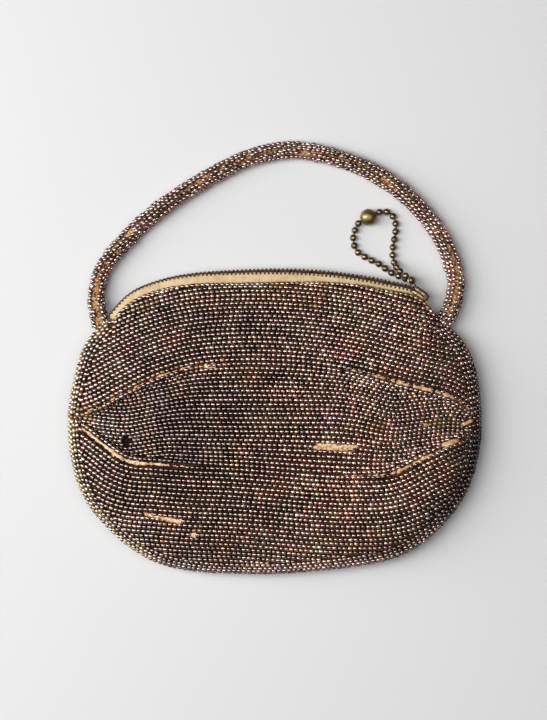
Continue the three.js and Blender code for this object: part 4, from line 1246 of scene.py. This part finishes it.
def block(low, high):
    # box by its two corners
    corners = np.stack(np.meshgrid(*zip(low, high), indexing="ij"), -1).reshape(-1, 3)
    faces = [[0, 1, 3, 2], [4, 6, 7, 5], [0, 4, 5, 1], [2, 3, 7, 6], [0, 2, 6, 4], [1, 5, 7, 3]]
    return corners, [np.array(faces)]


def nosePlug():
    # half oval between the plates at the slider's end, drawn in at its foot and top
    start, deep, wide, tall, edge, drawn = slider["nose"]
    turn = np.linspace(-np.pi / 2, np.pi / 2, slider["noseSteps"])
    rings = [np.stack([start + deep * draw * np.cos(turn), wide * draw * np.sin(turn),
                       np.full_like(turn, height)], -1)
             for height, draw in ((-tall, drawn), (edge - tall, 1), (tall - edge, 1), (tall, drawn))]
    return np.concatenate(rings), tubeFaces(len(rings), len(turn))


def ringOf(middle, radius, wire, steps, sides):
    # torus about the upright axis
    turn, angle = roundAngles(steps)[:, None], roundAngles(sides)[None, :]
    reach = radius + wire * np.cos(angle)
    rise = np.broadcast_to(wire * np.sin(angle), (steps, sides))
    points = np.stack([reach * np.cos(turn), reach * np.sin(turn), rise], -1)
    return points.reshape(-1, 3) + middle, turned([gridFaces(steps, sides, wrap=True, wrapRows=True)])


bail = slider["bail"]
bailMiddle = np.array([bail["along"], bail["out"], 0])
postFrom, postTo, postHalf = slider["post"]
sliderShapes = [
    channel(1),
    channel(-1),
    block((postFrom, -slider["inside"], -postHalf), (postTo, slider["inside"], postHalf)),
    block((-slider["long"] / 2 - bail["neck"], slider["inside"] + bail["bite"], -bail["wire"]),
          (-slider["long"] / 2 + bail["wire"], slider["inside"] + slider["plate"], bail["wire"])),
    ringOf(bailMiddle, bail["ring"], bail["wire"], bail["steps"], bail["sides"]),
    nosePlug(),
]
points, faces = joinShapes(sliderShapes)
onPurse(putMesh("zip_slider", toSlider(points), faces, sliderBrass), "zip_slider", "zipper_slider")
print("slider made")


largeBall = {"middle": (45.6, 67.8, 4.1), "radius": 4.1, "bore": 1.0, "turn": 0.484, "arcs": 22, "sides": 36}
chain = {
    "ball": 1.7, "arcs": 11, "pitch": 3.9, "touch": 0.2, "wire": 0.45, "sides": 16,
    "wireInBall": 1.5, "leadOut": 0.6, "perSpan": 60,
    "rightStrand": [(54.6, 70.4, 2.3), (57.9, 67.9, 1.7), (59, 64, 1.7), (58.5, 58.4, 1.7),
                    (57.5, 51.7, 1.7), (58.1, 45.9, 2.9), (60.4, 41.6, 8.4)],
    "leftStrand": [(38.9, 61, 1.9), (38.4, 56, 1.7), (40.1, 51.4, 1.7), (44.4, 48.3, 1.7),
                   (50.9, 45.1, 1.7), (56.3, 41.2, 1.8), (60.5, 39.2, 2.7)],
}
hole = toSlider(bailMiddle[None])[0]
ballMiddle = np.array(largeBall["middle"])
ballTurn = np.array([np.cos(largeBall["turn"]), np.sin(largeBall["turn"]), 0])
inBall = ballTurn * (largeBall["radius"] - chain["wireInBall"])
outOfBall = ballTurn * (largeBall["radius"] + chain["leadOut"])
dip = upward * chain["pitch"] / 2
toHole = [ballMiddle + inBall, ballMiddle + outOfBall, *chain["rightStrand"], hole + dip]
fromHole = [hole - dip, *chain["leftStrand"][::-1], ballMiddle - outOfBall, ballMiddle - inBall]
chainLine = pathThrough([*toHole, hole, *fromHole], chain["perSpan"])
chainFar = walked(chainLine)
holeDistance = chainFar[len(toHole) * chain["perSpan"]]


def ballPlaces(reach, way):
    # evenly spaced from the bail's hole, the first half a space off, the last close to the large ball
    reach = reach - chain["ball"] - chain["wireInBall"] - chain["touch"]
    count = round(reach / chain["pitch"] + 0.5)
    return holeDistance + way * (np.arange(count) + 0.5) * reach / (count - 0.5)


def chainRings():
    # wire that swells to each ball: a ball's radius is that of its circle
    ballAt = np.concatenate([ballPlaces(holeDistance, -1)[::-1], ballPlaces(chainFar[-1] - holeDistance, 1)])
    neck = np.arcsin(chain["wire"] / chain["ball"])
    turn = np.linspace(neck, np.pi - neck, chain["arcs"])
    distance = (ballAt[:, None] - chain["ball"] * np.cos(turn)).ravel()
    radius = np.tile(chain["ball"] * np.sin(turn), len(ballAt))
    distance = np.concatenate([[0], distance, [chainFar[-1]]])
    return distance, np.concatenate([[chain["wire"]], radius, [chain["wire"]]])


def drilledBall():
    # circle's arc from bore to bore turned about the wire's line, with the bore's wall inside
    mouth = np.arcsin(largeBall["bore"] / largeBall["radius"])
    turn = np.linspace(mouth, np.pi - mouth, largeBall["arcs"])
    along, girth = -np.cos(turn) * largeBall["radius"], np.sin(turn) * largeBall["radius"]
    angle = roundAngles(largeBall["sides"])[None, :, None]
    around = np.cross(upward, ballTurn) * np.cos(angle) + upward * np.sin(angle)
    points = ballMiddle + along[:, None, None] * ballTurn + girth[:, None, None] * around
    return points.reshape(-1, 3), [gridFaces(largeBall["arcs"], largeBall["sides"], wrap=True, wrapRows=True)]


points, faces = ringedTube(chainLine, *chainRings(), chain["sides"])
onPurse(putMesh("ball_chain_strand", points, faces, chainBrass), "chain_brass", "ball_chain")
points, faces = drilledBall()
onPurse(putMesh("large_ball", points, faces, ballBrass), "ball_brass", "chain_ball")
print("chain made")
